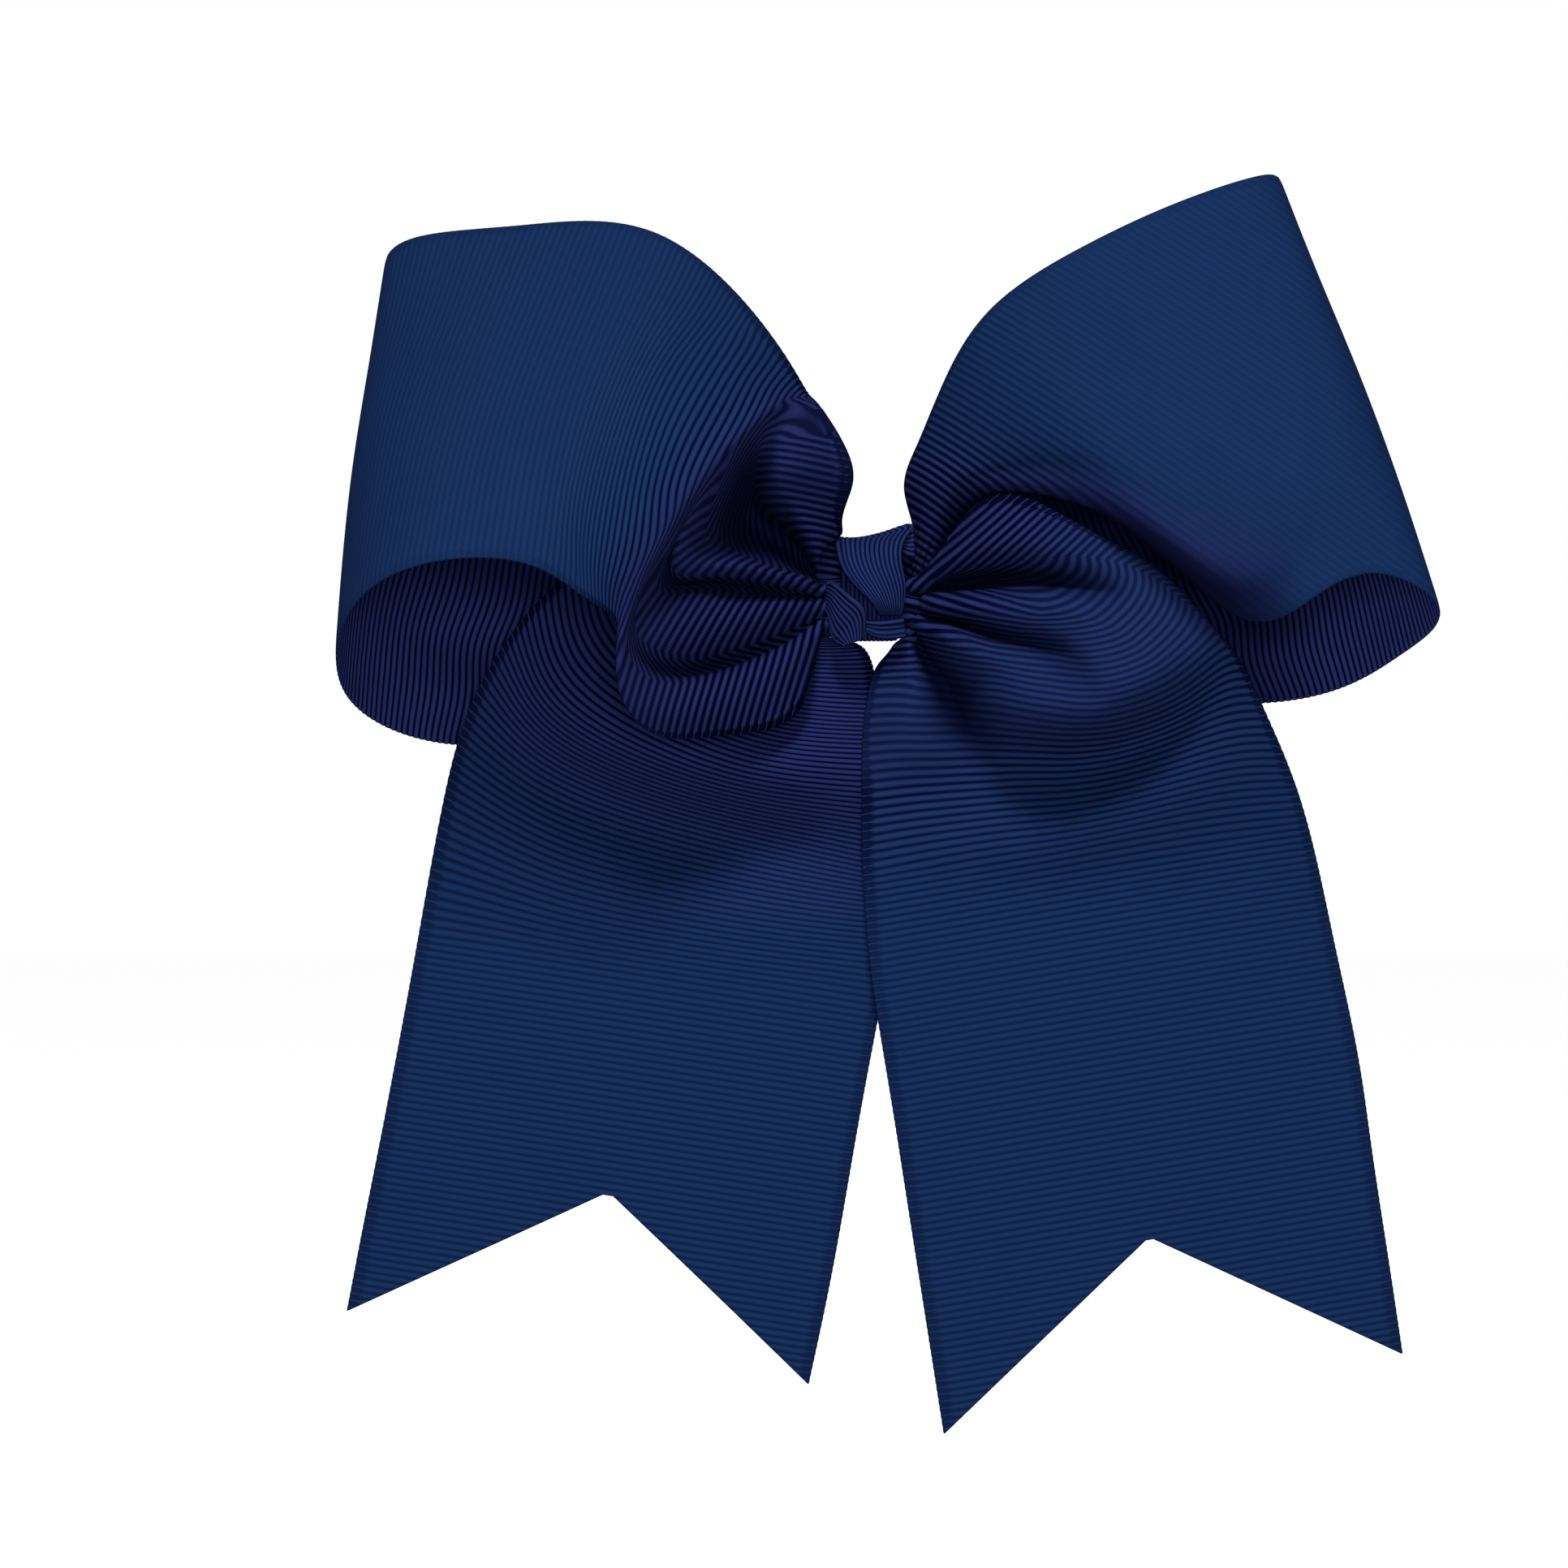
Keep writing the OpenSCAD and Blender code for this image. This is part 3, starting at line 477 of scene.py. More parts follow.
# %% Zip two neighbouring columns together
def zip_columns(a, b, faces):
    low, high = max(a["first"], b["first"]), min(a["last"], b["last"])
    ia, ib = a["at"] + 1 + low - a["first"], b["at"] + 1 + low - b["first"]
    n = high - low
    k = np.arange(n)
    faces["quads"].append(np.stack([ia + k, ia + k + 1, ib + k + 1, ib + k], axis=1))
    for a0, a1, b0, b1 in (
        (a["at"], ia, b["at"], ib),
        (ia + n, a["at"] + len(a["rows"]) - 1, ib + n, b["at"] + len(b["rows"]) - 1),
    ):
        while a0 < a1 or b0 < b1:
            next_a = a["rows"][a0 + 1 - a["at"]] if a0 < a1 else np.inf
            next_b = b["rows"][b0 + 1 - b["at"]] if b0 < b1 else np.inf
            if next_a <= next_b:
                faces["tris"].append((a0, a0 + 1, b0))
                a0 += 1
            else:
                faces["tris"].append((a0, b0 + 1, b0))
                b0 += 1


# %% [markdown]
# ## What the mesh tells the material
# Every vertex carries five notes: its place among the cords, how taut the cords are, how far the material
# draws them, how open they lie, which sets a violet painted shade where low, with -1 for the inside of a
# loop, which gets a lighter violet painted light, and how much painted shade it gets in folds, under the
# roll and inside a loop near the knot.

# %% Columns and their notes
CORE = 0.14
RELIEF = 0.17
CORD_ROUNDNESS = 0.9
FLAT_CREST = 0.85
SELVAGE_SHADE = 1.2
SELVAGE_PULL = 0.8
DRAWN_IN = 1.6
# Painted shade: a crease this deep is darkened fully; under the right loop's roll, away from its edge, only
# partly.
DEEP_FOLD = 6.0
ROLL_PAINTED_SHADE = 0.4
EDGE_COLUMNS = (0, 0.005, 0.014)
INNER_COLUMNS = (0.03, 0.97)
NOTES = ("cord", "taut", "fan", "spread", "painted_shade")
NEVER = ((0,), (0,))
ALWAYS = ((0,), (1,))


def column_places(count, width):
    edge = np.array(EDGE_COLUMNS) * RIBBON_W / width
    return np.concatenate([edge, np.linspace(*INNER_COLUMNS, count), 1 - edge[::-1]])


# Under the right loop's rolled edge the colour gets violet painted shade and darker painted shade.
def roll_under(note, share, station, rolled):
    under = np.interp(share, rolled["across"], (1, 0)) * np.interp(station, rolled["along"], (1, 0))
    note["spread"] = note["spread"] * (1 - under)
    note["painted_shade"] = np.interp(share, rolled["turned"], (1, ROLL_PAINTED_SHADE)) * under


# The inside skin of a loop is noted -1 for a lighter violet painted light, and gets painted shade near the
# knot.
def lining_note(rows, station, inside):
    none = 0 * rows
    painted_shade = np.interp(station, *inside)
    return {"cord": rows, "taut": none, "fan": none, "spread": none - 1, "painted_shade": painted_shade}


def crest_height(note):
    crest = abs(np.sin(np.pi * note["cord"] / RIB_PITCH)) ** CORD_ROUNDNESS
    return crest + (FLAT_CREST - crest) * np.maximum(note["taut"], note["fan"])


def towards_furrow(cord):
    return cord + SELVAGE_PULL * (RIB_PITCH * np.round(cord / RIB_PITCH) - cord)


def add_column(made, base, where, note):
    column = dict(base, at=made["count"])
    made["count"] += len(where)
    made["spots"].append(where)
    made["notes"].append(np.stack([note[k] for k in NOTES], axis=1))
    made["places"].append(np.stack([np.full(len(where), base["across"] * MM), base["rows"] * MM], axis=1))
    return column


# %% Weave one length of ribbon
SELVAGE = 0.6
SELVAGE_THIN = 0.45
BEAD = 0.1
BEAD_RELIEF = 0.14
END_ROOM = 0.3
TINY = 1e-9


def to_frame(points):
    return np.stack([points[:, 0], BUNDLE_Y - points[:, 1], points[:, 2]], axis=1) * MM


def follow(where, weft, values):
    return np.stack([np.interp(where, weft, values[:, k]) for k in range(3)], axis=1)


def surface_ways(points, v):
    across = np.gradient(points, v, axis=1)
    normal = np.cross(np.gradient(points, axis=0), across)
    return [way / np.maximum(np.linalg.norm(way, axis=-1, keepdims=True), TINY) for way in (across, normal)]


def tip(column, last):
    return column["at"] + (len(column["rows"]) - 1 if last else 0)


def close_ends(front, back, rims, faces):
    for last in (False, True):
        turn = -1 if last else 1
        over, under, side = ([tip(c, last) for c in columns] for columns in (front, back, rims))
        caps = [(f0, f1, b1, b0) for f0, f1, b0, b1 in zip(over, over[1:], under, under[1:])]
        faces["quads"].append(np.array(caps)[:, ::turn])
        faces["tris"].append((over[-1], side[1], under[-1])[::turn])
        faces["tris"].append((under[0], side[0], over[0])[::turn])


def weave(ribs, zero, lip, cut=0.0, gathered="start", columns=40, width=RIBBON_W, cords="across",
          taut=NEVER, creases=(), spread=ALWAYS, tint=None, fan=None, rolled=None, inside=NEVER):
    v = column_places(columns, width)
    t = np.linspace(0, len(ribs) - 1, DENSE_STEPS * (len(ribs) - 1) + 1)
    points = ribbon_surface(ribs, v, t, gathered, creases)
    across, normal = surface_ways(points, v)
    outward = np.sign(((points - points.mean(axis=(0, 1))) * normal).sum())
    weft = weft_lengths(points, t, zero, lip)
    cord = joined_cords(points, v, t, weft, spread, fan) if fan else weft
    # Painted shade in the colour, growing with how deep the creases press in.
    painted_shade = np.minimum(fold_depth(v, t, creases) / DEEP_FOLD, 1)
    front, back, rims = [], [], []
    made = {"count": 0, "spots": [], "places": [], "notes": []}

    for j, share in enumerate(v):
        run = np.maximum.accumulate(weft[::-1, j] + np.arange(len(t)) * TINY)
        low, high = run[0] + cut * (1 - abs(2 * share - 1)), run[-1]
        first, last = math.ceil(low / ROW_STEP + END_ROOM), math.floor(high / ROW_STEP - END_ROOM)
        rows = np.concatenate([[low], np.arange(first, last + 1) * ROW_STEP, [high]])
        base = {"rows": rows, "first": first, "last": last, "across": share * width}
        middle = follow(rows, run, points[::-1, j])
        up = follow(rows, run, normal[::-1, j])
        up /= np.linalg.norm(up, axis=1, keepdims=True)
        station = np.interp(rows, run, t[::-1])
        note = {
            "cord": np.interp(rows, run, cord[::-1, j]),
            "taut": np.interp(station, *taut),
            "fan": 1 - np.interp(station, *spread) if fan else np.zeros(len(rows)),
            "spread": np.interp(station, *(tint or spread)),
            "painted_shade": np.interp(rows, run, painted_shade[::-1, j]),
        }
        if cords == "along":
            note["cord"] = np.full(len(rows), share * width * DRAWN_IN)
        if rolled:
            roll_under(note, share, station, rolled)
        crest = crest_height(note)
        from_edge = min(share, 1 - share) * width
        if cords == "across" and from_edge < SELVAGE_SHADE:
            note["cord"] = towards_furrow(note["cord"])
        thin = 1 - SELVAGE_THIN * math.exp(-from_edge / SELVAGE)
        half = ((CORE + RELIEF * crest) * thin)[:, None]
        inner = lining_note(rows, station, inside) if gathered == "both" else note
        over, under = (note, inner) if outward > 0 else (inner, note)
        front.append(add_column(made, base, middle + up * half, over))
        back.append(add_column(made, base, middle - up * half, under))
        if share in (0, 1):
            sideways = follow(rows, run, across[::-1, j]) * (1 if share else -1)
            bead = (BEAD + BEAD_RELIEF * crest)[:, None]
            rims.append(add_column(made, base, middle + sideways * bead, note))

    ring = front + [rims[1]] + back[::-1] + [rims[0]]
    faces = {"quads": [], "tris": []}
    for k, a in enumerate(ring):
        zip_columns(a, ring[(k + 1) % len(ring)], faces)
    close_ends(front, back, rims, faces)
    return {
        "spots": to_frame(np.concatenate(made["spots"])),
        "quads": np.concatenate(faces["quads"]),
        "tris": np.array(faces["tris"]),
        "notes": np.concatenate(made["notes"]),
        "places": np.concatenate(made["places"]),
        "length": float(np.mean(weft[0] - weft[-1])),
    }


# %% Turn woven lengths into a piece
def ribbon_piece(name, lengths):
    spots = np.concatenate([w["spots"] for w in lengths])
    starts = np.cumsum([0] + [len(w["spots"]) for w in lengths[:-1]])
    quads = np.concatenate([w["quads"] + s for w, s in zip(lengths, starts)])
    tris = np.concatenate([w["tris"] + s for w, s in zip(lengths, starts)])
    a, b, c = spots[tris[:, 0]], spots[tris[:, 1]], spots[tris[:, 2]]
    inside = (a * np.cross(b, c)).sum()
    for k in (1, 2):
        a, b, c = spots[quads[:, 0]], spots[quads[:, k]], spots[quads[:, k + 1]]
        inside += (a * np.cross(b, c)).sum()
    if inside < 0:
        quads, tris = quads[:, ::-1], tris[:, ::-1]
    mesh = bpy.data.meshes.new(name)
    mesh.vertices.add(len(spots))
    mesh.vertices.foreach_set("co", spots.astype(np.float32).ravel())
    corners = np.concatenate([quads.ravel(), tris.ravel()]).astype(np.int32)
    mesh.loops.add(len(corners))
    mesh.loops.foreach_set("vertex_index", corners)
    begins = np.concatenate([np.arange(len(quads)) * 4, len(quads) * 4 + np.arange(len(tris)) * 3])
    mesh.polygons.add(len(begins))
    mesh.polygons.foreach_set("loop_start", begins.astype(np.int32))
    mesh.polygons.foreach_set("use_smooth", np.ones(len(begins), bool))
    uv = mesh.uv_layers.new(name="weave")
    places = np.concatenate([w["places"] for w in lengths])
    uv.data.foreach_set("uv", places[corners].astype(np.float32).ravel())
    notes = np.concatenate([w["notes"] for w in lengths]).astype(np.float32)
    for k, note in enumerate(NOTES):
        layer = mesh.attributes.new(note, "FLOAT", "POINT")
        layer.data.foreach_set("value", np.ascontiguousarray(notes[:, k]))
    mesh.update()
    mesh.validate()
    piece = bpy.data.objects.new(name, mesh)
    bpy.context.collection.objects.link(piece)
    long = [round(w["length"], 1) for w in lengths]
    print(name, len(quads) * 2 + len(tris), "triangles,", long, "mm long")
    return piece


# %% [markdown]
# ## Navy grosgrain
# The ribbon is dyed navy. Crests of the cords catch the light, and the furrows get a painted shadow on top
# of their relief. Fine warp threads run along the ribbon over the cords, and the dye varies a little.
# Bunched cords get a violet painted shade, and the inside of a loop a lighter violet painted light. The
# hollows of the folds get painted shade, as the real folds are deeper than these.
# The cloth is dull, with a faint sheen for the lustre of the yarn.

# %% Grosgrain finish
# The violet colour is painted shade, the pale violet painted light for the inside of a loop, and the darkest
# colour painted shadow for furrows and the hollows of folds.
NAVY_CREST = (0.0102, 0.033, 0.116, 1)
NAVY_WORN = (0.0117, 0.0386, 0.13, 1)
NAVY_VIOLET_SHADE = (0.02, 0.03, 0.134, 1)
NAVY_INSIDE_PAINTED_LIGHT = (0.034, 0.05, 0.22, 1)
NAVY_FURROW_SHADOW = (0.0014, 0.0017, 0.015, 1)
FURROW_EDGE = {"relief": 0.25, "drawn": 0.5}
CREST_EDGE = 0.95
PAINTED_SHADE_MOST = 0.75
DYE_SCALE = (55, 130, 1)
DYE_MOST = 0.4
WARP_SCALE = (5200, 420, 1)
WARP_GLOSS = (0.52, 0.66)
WARP_HEIGHT = 0.06 * MM
WARP_BUMP = 0.35
CORD_HEIGHT = 0.3 * MM

grosgrain, cloth, shader = new_material("navy_grosgrain")
noted = {note: add_node(cloth, "ShaderNodeAttribute", attribute_name=note).outputs["Fac"] for note in NOTES}
weave_uv = add_node(cloth, "ShaderNodeUVMap", uv_map="weave").outputs[0]
cord_turn = reckon(cloth, "MULTIPLY", noted["cord"], math.pi / RIB_PITCH)
cord_crest = reckon(cloth, "ABSOLUTE", reckon(cloth, "SINE", cord_turn))
# Painted shadow: the furrows between the cords are darkened in the colour, on top of their relief.
furrow_edge = ranged(cloth, noted["fan"], FURROW_EDGE["relief"], FURROW_EDGE["drawn"])
cord_shade = ranged(cloth, cord_crest, 0.0, 1.0, furrow_edge, CREST_EDGE)
cord_amount = ranged(cloth, noted["taut"], cord_shade, FLAT_CREST)
dye = noise(cloth, mapped(cloth, weave_uv, Scale=DYE_SCALE), 1.0, 3.0)
dye_amount = ranged(cloth, dye, 0.0, DYE_MOST, 0.35, 0.75)
spread_colour = mixed(cloth, dye_amount, NAVY_CREST, NAVY_WORN)
# Painted shade: where the cords bunch, in fans, rolls and the knot, the colour turns violet.
outer_colour = mixed(cloth, noted["spread"], NAVY_VIOLET_SHADE, spread_colour)
# Painted light: the inside of a loop, noted -1, is a lighter violet.
inside_painted_light = reckon(cloth, "MULTIPLY", noted["spread"], -1.0)
open_colour = mixed(cloth, inside_painted_light, outer_colour, NAVY_INSIDE_PAINTED_LIGHT)
# Painted shade: fold hollows, the right loop's roll and loop insides near the knot turn towards the darkest
# colour.
painted_shade_amount = reckon(cloth, "MULTIPLY", noted["painted_shade"], PAINTED_SHADE_MOST)
crest_colour = mixed(cloth, painted_shade_amount, open_colour, NAVY_FURROW_SHADOW)
warp = noise(cloth, mapped(cloth, weave_uv, Scale=WARP_SCALE), 1.0, 2.0)
drawn_cords = ranged(cloth, noted["taut"], noted["fan"], 0.0)
cord_bump = bumped(cloth, cord_crest, drawn_cords, CORD_HEIGHT)
feed(cloth, shader, {
    "Base Color": mixed(cloth, cord_amount, NAVY_FURROW_SHADOW, crest_colour),
    "Roughness": ranged(cloth, warp, *WARP_GLOSS, 0.3, 0.7),
    "Normal": bumped(cloth, warp, WARP_BUMP, WARP_HEIGHT, Normal=cord_bump),
    "Sheen Weight": 0.012,
    "Sheen Roughness": 0.4,
    "Sheen Tint": (0.4, 0.3, 0.9, 1),
    "Specular IOR Level": 0.0,
})
print("grosgrain nodes", len(cloth.nodes))

# %% [markdown]
# ## The four lengths
# Each length is woven along its ribs and stands for its CAD solid.
# The tails end in a swallow-tailed cut 26 mm deep. A crease says where across the ribbon it lies, how wide
# it is, and how deep at which ribs, and its hollow is darkened with painted shade by that depth. A fan says
# at which slope, in degrees, the cords of each fold run. Taut, the fan's opening, tint and inside are given
# at ribs
# too: the opening says where the cords leave the fan and where a violet painted shade turns to navy; tint
# says where that turn lies if it is elsewhere, and inside says how much painted shade the inside of a loop
# gets near the knot.

# %% Creases, fans and cords
NOTCH = 26.0
LEFT_CREASES = (
    (0.25, CREASE_W, (1, 2, 3, 4, 5), (0, 3.5, 6, 5, 0)),
    (0.5, CREASE_W, (1, 2, 3, 4, 5, 6), (0, 3.5, 7, 8, 5, 0)),
    (0.75, POCKET_W, (1, 2, 3, 4, 5, 6), (0, 3, 7, 11, 11, 0)),
)
TAIL_CREASES = (
    (0.25, VALLEY_W, (1, 2, 3, 4, 5, 6, 7, 8), (0, 2, 4, 5.5, 7, 8, 6, 0)),
    (0.5, CREASE_W, (1, 2, 3, 4, 5, 6, 7), (0, 2.5, 5, 6.5, 6, 3.5, 0)),
    (0.75, VALLEY_W, (1, 2, 3, 4, 5, 6), (0, 3, 7, 9, 6, 0)),
)
LEFT_TAUT = ((3, 4.5, 6, 7, 9, 11.5, 12.5), (0, 0.25, 0.25, 0, 0.75, 0.75, 0))
RIGHT_TAUT = ((2.5, 4, 6, 10, 11), (0, 0.5, 0.85, 0.85, 0))
LEFT_FAN = {
    "towards": 1, "widens": (3, 6), "lip": 6.4, "slopes": (74, 60, 40, -8), "shifts": (0, 0, 0),
    "valleys": ((0.25, 0.06), (0.5, 0.06), (0.74, 0.08)), "fades": ((0.25, 0.12), (0.5, 0.1), (0.73, 0.14)),
}
RIGHT_FAN = {
    "towards": 1, "widens": (0, 1), "lip": 9.5, "slopes": (-36,), "shifts": (), "valleys": (), "fades": (),
}
# Painted shade under the right loop's rolled edge: where across, where along, and where it darkens most.
RIGHT_ROLL = {"turned": (0.09, 0.15), "across": (0.14, 0.36), "along": (6, 7.2)}
TAIL_FAN = {
    "towards": -1, "widens": (3.5, 7), "lip": 10, "slopes": (4, -5, -13, 42), "shifts": (0, 0, 24),
    "valleys": ((0.25, 0.06), (0.5, 0.06), (0.76, 0.08)), "fades": ((0.3, 0.4), (0.5, 0.4), (0.7, 0.6)),
}
TAIL_TAUT = ((3.5, 5.5, 7, 8, 11), (0, 0.4, 0.4, 0.1, 0.5))
LEFT_TAIL_TAUT = ((4, 7), (0, 0.5))


# %% Weave the loops and tails
def dress(piece, node):
    piece.data.materials.append(grosgrain)
    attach(piece, "bow")
    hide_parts(node)


def add_length(name, node, woven):
    piece = ribbon_piece(name, [woven])
    dress(piece, node)


# Low values in a length's fan opening and tint paint violet shade into its colour.
left_loop = weave(
    left_loop_ribs, zero=12, lip=8, gathered="both", columns=50, taut=LEFT_TAUT, creases=LEFT_CREASES,
    spread=((5.4, 6.4), (0, 1)), tint=((6.2, 7.2), (0, 1)), fan=LEFT_FAN,
)
add_length("left_loop_ribbon", "left_loop", left_loop)
right_loop = weave(
    right_loop_ribs, zero=9, lip=6, gathered="both", columns=44, taut=RIGHT_TAUT, spread=((9, 10), (0, 1)),
    tint=((2, 4), (0, 1)), fan=RIGHT_FAN, rolled=RIGHT_ROLL, inside=((10.7, 11.5), (0, 1)),
)
add_length("right_loop_ribbon", "right_loop", right_loop)
right_tail = weave(
    right_tail_ribs, zero=len(right_tail_ribs) - 1, lip=10, cut=NOTCH, columns=58, taut=TAIL_TAUT,
    creases=TAIL_CREASES, spread=((5, 9.5), (0, 1)), tint=((3, 5.5, 7, 9.6), (0, 0.5, 0.45, 1)),
    fan=TAIL_FAN,
)
add_length("right_tail_ribbon", "right_tail", right_tail)
left_tail = weave(
    left_tail_ribs, zero=len(left_tail_ribs) - 1, lip=7, cut=NOTCH, columns=44, taut=LEFT_TAIL_TAUT,
    spread=((4, 6.4), (0, 1)),
)
add_length("left_tail_ribbon", "left_tail", left_tail)

# %% [markdown]
# ## The knot
# A narrow strip of the same ribbon is tied over the gathered middle: one strand comes over the top and down
# to the right, a second crosses under it to the lower left, and short ends tuck in behind. The strip is cut
# along the cords, so here the cords run lengthwise. Each strand is woven in the same way, with its own ribs,
# and says how flat its cords lie and how much violet painted shade it gets; the under strand gets the most,
# for the shadow of the strand over it.

# %% Ribs of the knot's strands
knot_over_ribs = [
    rib((-8.2, -2.2, 6.6), (5, -2.4, 8.3), (0, 0, 0.4)),
    rib((-6.4, 0.4, 8.4), (5.6, 0.6, 10.8), (0, 0, -0.6)),
    rib((-5.9, 2.6, 9), (7.2, 2.2, 10.8), (0, 0, -1)),
    rib((-5.5, 6.3, 8), (5.6, 6.2, 8.4), (0, 0.3, -0.3)),
    rib((-4.7, 9.4, 4.4), (5.2, 8.4, 4.6), (0, 0.9, 0)),
    rib((-2.2, 10.6, 0.8), (5.8, 8.6, 1.2), (0, 1.1, 0)),
    rib((0.6, 10.2, -2), (5.6, 8.6, -2.2), (0, 0.8, 0)),
    rib((1.6, 8, -3.8), (5.2, 7.8, -3.8)),
]
knot_under_ribs = [
    rib((-6.8, 5.4, -3.8), (-6.8, 6.8, 1.6)),
    rib((-6.5, 6, -4.8), (-5.4, 9, 1), (0, 0.3, 0)),
    rib((-6.3, 6, -6.9), (-3, 10, -1), (0, 0.5, 0)),
    rib((-5.6, 6, -8.3), (-0.9, 9.6, -3.2), (0, 0.4, 0)),
    rib((-4.2, 7.6, -8.9), (-0.9, 7.9, -7.8)),
]
knot_tuck_ribs = [
    rib((-0.4, 7.9, -6.6), (-0.4, 8.4, -4.8)),
    rib((2, 7.8, -7.7), (2.2, 9.3, -4.8), (0, 0.3, 0)),
    rib((6, 7.4, -7.5), (5.6, 8.2, -4.3)),
]
knot_end_ribs = [
    rib((4.95, 4.4, 6.8), (4.95, 2.2, 9.4)),
    rib((6.2, 4.4, 6), (6.2, 2.2, 10)),
    rib((7.5, 4.4, 5.6), (7.4, 2.6, 10.6)),
]

# %% Weave the knot
KNOT_COLUMNS = 40


# A strand's cords don't fan, so its last number only sets its violet painted shade.
def strand(ribs, flat, spread):
    widths = [np.linalg.norm(np.diff(np.asarray(r, float), axis=0), axis=1).sum() for r in ribs]
    width = float(np.mean(widths))
    woven = weave(ribs, len(ribs) - 1, 0, gathered=None, columns=KNOT_COLUMNS, width=width, cords="along",
                  taut=((0,), (flat,)), spread=((0,), (spread,)))
    woven["area"] = width * woven["length"]
    return woven


strands = [
    strand(knot_over_ribs, 0.05, 0.4),
    strand(knot_under_ribs, 0, 0.1),
    strand(knot_tuck_ribs, 0.1, 0.2),
    strand(knot_end_ribs, 0.1, 0.2),
]
knot = ribbon_piece("tied_knot", strands)
dress(knot, "knot")

# %% [markdown]
# ## The band behind the knot
# The rest of the strip runs round the gathered ribbon, and its ends meet at the back, under the glue.

# %% Weave the band
BAND_MIDDLE = (6.69, 7.76)
BAND_STATIONS = 40
BAND_W = 9.0
BAND_GAP = 4


def ring_point(middle, degrees):
    c, s = math.cos(math.radians(degrees)), math.sin(math.radians(degrees))
    reach = ((c / middle[0]) ** 4 + (s / middle[1]) ** 4) ** -0.25
    return reach * c, reach * s


def band_rib(degrees):
    back, up = ring_point(BAND_MIDDLE, degrees)
    return rib((-BAND_W / 2, -back, up), (BAND_W / 2, -back, up))


band_ribs = [band_rib(a) for a in np.linspace(BAND_GAP, 360 - BAND_GAP, BAND_STATIONS)]
# The band gets full violet painted shade, as it lies in the knot's shadow.
band_strand = strand(band_ribs, 0, 0)
band = ribbon_piece("band_strip", [band_strand])
dress(band, "knot_band")

# %% [markdown]
# ## The gathering thread
# Under the band, four turns of waxed thread draw the ribbon into its pleats. It is a curve with a round
# section, made a mesh, with the twist of its plies in the material.

# %% Wind the thread
THREAD_RING = (5.79, 6.86)
THREAD_D = 0.5
THREAD_TURNS = 4
THREAD_STEP = 0.95
TURN_POINTS = 48
PLY_SLANT = 0.8
THREAD_DARK = (0.006, 0.009, 0.03, 1)
THREAD_PALE = (0.012, 0.02, 0.06, 1)

wind = bpy.data.curves.new("thread", "CURVE")
wind.dimensions = "3D"
wind.bevel_depth = THREAD_D / 2 * MM
wind.bevel_resolution = 3
wind.use_fill_caps = True
path = wind.splines.new("POLY")
turns = np.linspace(0, THREAD_TURNS, THREAD_TURNS * TURN_POINTS + 1)
path.points.add(len(turns) - 1)
for point, turn in zip(path.points, turns):
    back, up = ring_point(THREAD_RING, 360 * turn)
    point.co = ((turn - THREAD_TURNS / 2) * THREAD_STEP * MM, (BUNDLE_Y + back) * MM, up * MM, 1)
thread = bpy.data.objects.new("thread_winding", wind)
bpy.context.collection.objects.link(thread)
bpy.ops.object.select_all(action="DESELECT")
thread.select_set(True)
bpy.context.view_layer.objects.active = thread
bpy.ops.object.convert(target="MESH")
bpy.ops.object.shade_smooth()

waxed, fibre, shader = new_material("waxed_thread")
ply_map = mapped(fibre, object_place(fibre), Rotation=(0, 0, PLY_SLANT))
ply_wave = add_node(fibre, "ShaderNodeTexWave", {"Vector": ply_map, "Scale": 420.0, "Distortion": 1.5})
ply = ply_wave.outputs["Fac"]
feed(fibre, shader, {
    "Base Color": mixed(fibre, ply, THREAD_DARK, THREAD_PALE),
    "Roughness": 0.45,
    "Normal": bumped(fibre, ply, 0.6, 0.08 * MM),
})
thread.data.materials.append(waxed)
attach(thread, "bow")
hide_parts("gathering_thread")
print("thread", len(thread.data.polygons), "faces")

# %% [markdown]
# ## The glue
# A flat bead of hot-melt glue holds the clip to the band. It starts as a box, its edges are bevelled round,
# and its surface is roughened a little, as glue sets uneven. It is cloudy and slightly waxy.

# %% Press out the glue
GLUE_LOW = (-4.5, -1.2, -3)
GLUE_HIGH = (4.5, -0.6, 3)
GLUE_EDGE = 0.25 * MM
GLUE_UNEVEN = 0.05 * MM
GLUE_DULL = (0.62, 0.58, 0.46, 1)
GLUE_PALE = (0.78, 0.75, 0.64, 1)

glue_size = [(h - l) * MM for l, h in zip(GLUE_LOW, GLUE_HIGH)]
glue_middle = [(h + l) / 2 * MM for l, h in zip(GLUE_LOW, GLUE_HIGH)]
bpy.ops.object.select_all(action="DESELECT")
bpy.ops.mesh.primitive_cube_add(size=1)
glue = bpy.context.object
glue.name = "glue_bead"
bpy.ops.object.mode_set(mode="EDIT")
bpy.ops.mesh.select_all(action="SELECT")
bpy.ops.transform.resize(value=glue_size)
bpy.ops.transform.translate(value=glue_middle)
bpy.ops.mesh.bevel(offset=GLUE_EDGE, segments=3, affect="EDGES")
bpy.ops.mesh.subdivide(number_cuts=5)
bpy.ops.transform.vertex_random(offset=GLUE_UNEVEN, seed=4)
bpy.ops.object.mode_set(mode="OBJECT")
rounding = glue.modifiers.new("rounding", "SUBSURF")
rounding.levels = rounding.render_levels = 1
bpy.ops.object.modifier_apply(modifier="rounding")
bpy.ops.object.shade_smooth()

hot_melt, wax, shader = new_material("hot_melt_glue")
cloud = noise(wax, object_place(wax), 600.0, 3.0)
feed(wax, shader, {
    "Base Color": mixed(wax, cloud, GLUE_DULL, GLUE_PALE),
    "Roughness": ranged(wax, cloud, 0.25, 0.45),
    "Transmission Weight": 0.35,
})
glue.data.materials.append(hot_melt)
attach(glue, "bow")
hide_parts("glue_pad")
print("glue", len(glue.data.polygons), "faces")

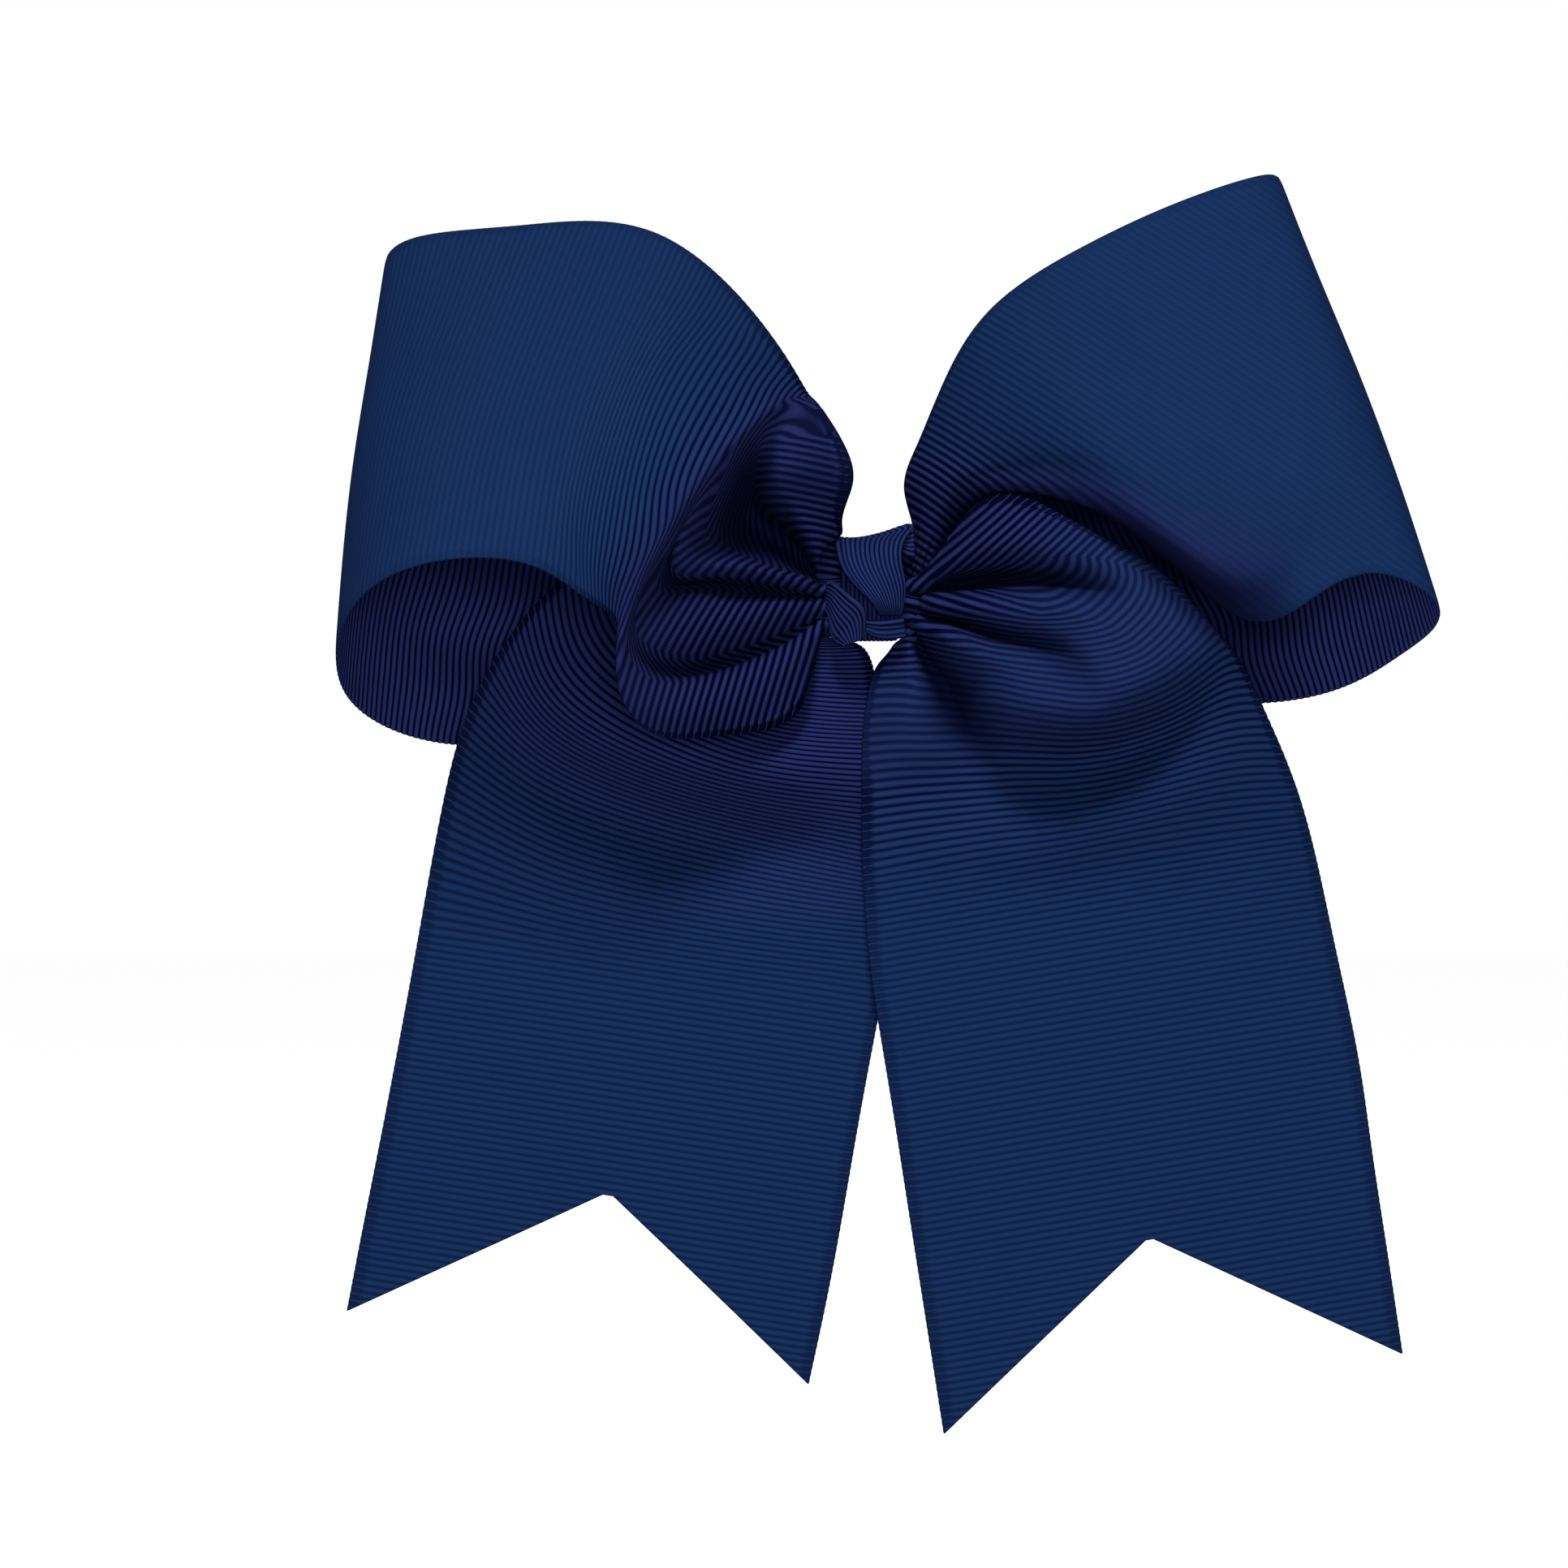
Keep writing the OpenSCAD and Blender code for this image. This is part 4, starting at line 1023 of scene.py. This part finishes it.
# %% [markdown]
# ## The spring
# A torsion spring shuts the clip. A small wire circle is swept round the hinge pin by a Screw modifier, and
# the two legs are extruded along the plate and the lever.

# %% Coil the spring
HINGE = (9.0, 1.85)
COIL_R = 1.3
WIRE_D = 0.7
LEVER_ANGLE = math.radians(24)
COIL_ANGLE = math.radians(4 * 360 + 180) - LEVER_ANGLE
COIL_STEP = 1.15
COIL_L = COIL_STEP * COIL_ANGLE / (2 * math.pi)
COIL_STEPS = 200
LEG = 9.0

bpy.ops.object.select_all(action="DESELECT")
bpy.ops.mesh.primitive_circle_add(vertices=16, radius=WIRE_D / 2 * MM, rotation=(0, math.radians(90), 0))
spring = bpy.context.object
spring.name = "torsion_spring"
bpy.ops.object.transform_apply(location=False, rotation=True, scale=False)
bpy.ops.object.mode_set(mode="EDIT")
bpy.ops.mesh.select_all(action="SELECT")
bpy.ops.transform.translate(value=(0, -COIL_R * MM, -COIL_L / 2 * MM))
bpy.ops.object.mode_set(mode="OBJECT")
coil = spring.modifiers.new("coil", "SCREW")
coil.axis = "Z"
coil.angle = -COIL_ANGLE
coil.screw_offset = COIL_L * MM
coil.steps = coil.render_steps = COIL_STEPS
bpy.ops.object.modifier_apply(modifier="coil")
spring.location = (HINGE[0] * MM, HINGE[1] * MM, 0)
bpy.ops.object.transform_apply(location=True, rotation=False, scale=False)
spring_low = min(v.co.z for v in spring.data.vertices)
spring_high = max(v.co.z for v in spring.data.vertices)
print("coil", round((spring_high - spring_low) / MM, 2), "mm long")


# %% Extrude the legs
def open_ends(mesh):
    uses = {}
    for polygon in mesh.polygons:
        for key in polygon.edge_keys:
            uses[key] = uses.get(key, 0) + 1
    return {i for key, count in uses.items() if count == 1 for i in key}


def extrude_leg(piece, pick, way):
    for part in (piece.data.vertices, piece.data.edges, piece.data.polygons):
        part.foreach_set("select", np.zeros(len(part), bool))
    for i in pick:
        piece.data.vertices[i].select = True
    bpy.ops.object.mode_set(mode="EDIT")
    bpy.ops.mesh.select_mode(type="VERT")
    bpy.ops.mesh.extrude_region_move(TRANSFORM_OT_translate={"value": way})
    bpy.ops.mesh.edge_face_add()
    bpy.ops.object.mode_set(mode="OBJECT")


LEG_STEP = COIL_STEP / 8
ends = open_ends(spring.data)
first_end = [i for i in ends if spring.data.vertices[i].co.z < 0]
last_end = [i for i in ends if spring.data.vertices[i].co.z > 0]
extrude_leg(spring, first_end, (LEG * MM, 0, -LEG_STEP * MM))
lever_way = (math.cos(LEVER_ANGLE) * LEG * MM, math.sin(LEVER_ANGLE) * LEG * MM, LEG_STEP * MM)
extrude_leg(spring, last_end, lever_way)
bpy.ops.object.mode_set(mode="EDIT")
bpy.ops.mesh.select_all(action="SELECT")
bpy.ops.mesh.remove_doubles(threshold=1e-6)
bpy.ops.mesh.normals_make_consistent(inside=False)
bpy.ops.object.mode_set(mode="OBJECT")
bpy.ops.object.shade_smooth_by_angle(angle=math.radians(40))

# %% [markdown]
# ## Bright steel
# The clip is stamped from nickel-plated sheet, so its CAD shape stays and only gets a finish: bright metal,
# hazed by handling, with fine scuffs. The spring is drawn wire, a little darker, with a fine mottle in tone
# and gloss.

# %% Nickel plate and spring wire
NICKEL_DULL = (0.58, 0.56, 0.52, 1)
NICKEL_BRIGHT = (0.7, 0.68, 0.64, 1)
SCUFF_SCALE = (300, 300, 4200)
WIRE_DARK = (0.34, 0.34, 0.35, 1)
WIRE_BRIGHT = (0.5, 0.5, 0.51, 1)

nickel, plating, shader = new_material("nickel_plate")
spot = object_place(plating)
haze = noise(plating, spot, 260.0, 4.0)
scuff = noise(plating, mapped(plating, spot, Scale=SCUFF_SCALE), 1.0, 2.0)
feed(plating, shader, {
    "Base Color": mixed(plating, haze, NICKEL_DULL, NICKEL_BRIGHT),
    "Roughness": ranged(plating, haze, 0.16, 0.38),
    "Normal": bumped(plating, scuff, 0.12, 0.02 * MM),
    "Metallic": 1.0,
})
for name in ("clip_plate", "clip_jaw", "clip_pin"):
    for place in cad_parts[name].material_slots:
        place.material = nickel

drawn_wire, wire, shader = new_material("drawn_wire")
drawn = noise(wire, object_place(wire), 2400.0, 2.0)
feed(wire, shader, {
    "Base Color": mixed(wire, drawn, WIRE_DARK, WIRE_BRIGHT),
    "Roughness": ranged(wire, drawn, 0.24, 0.42),
    "Metallic": 1.0,
})
spring.data.materials.append(drawn_wire)
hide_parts("clip_spring")
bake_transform(spring)
print("clip finish on", [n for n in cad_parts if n.startswith("clip")])
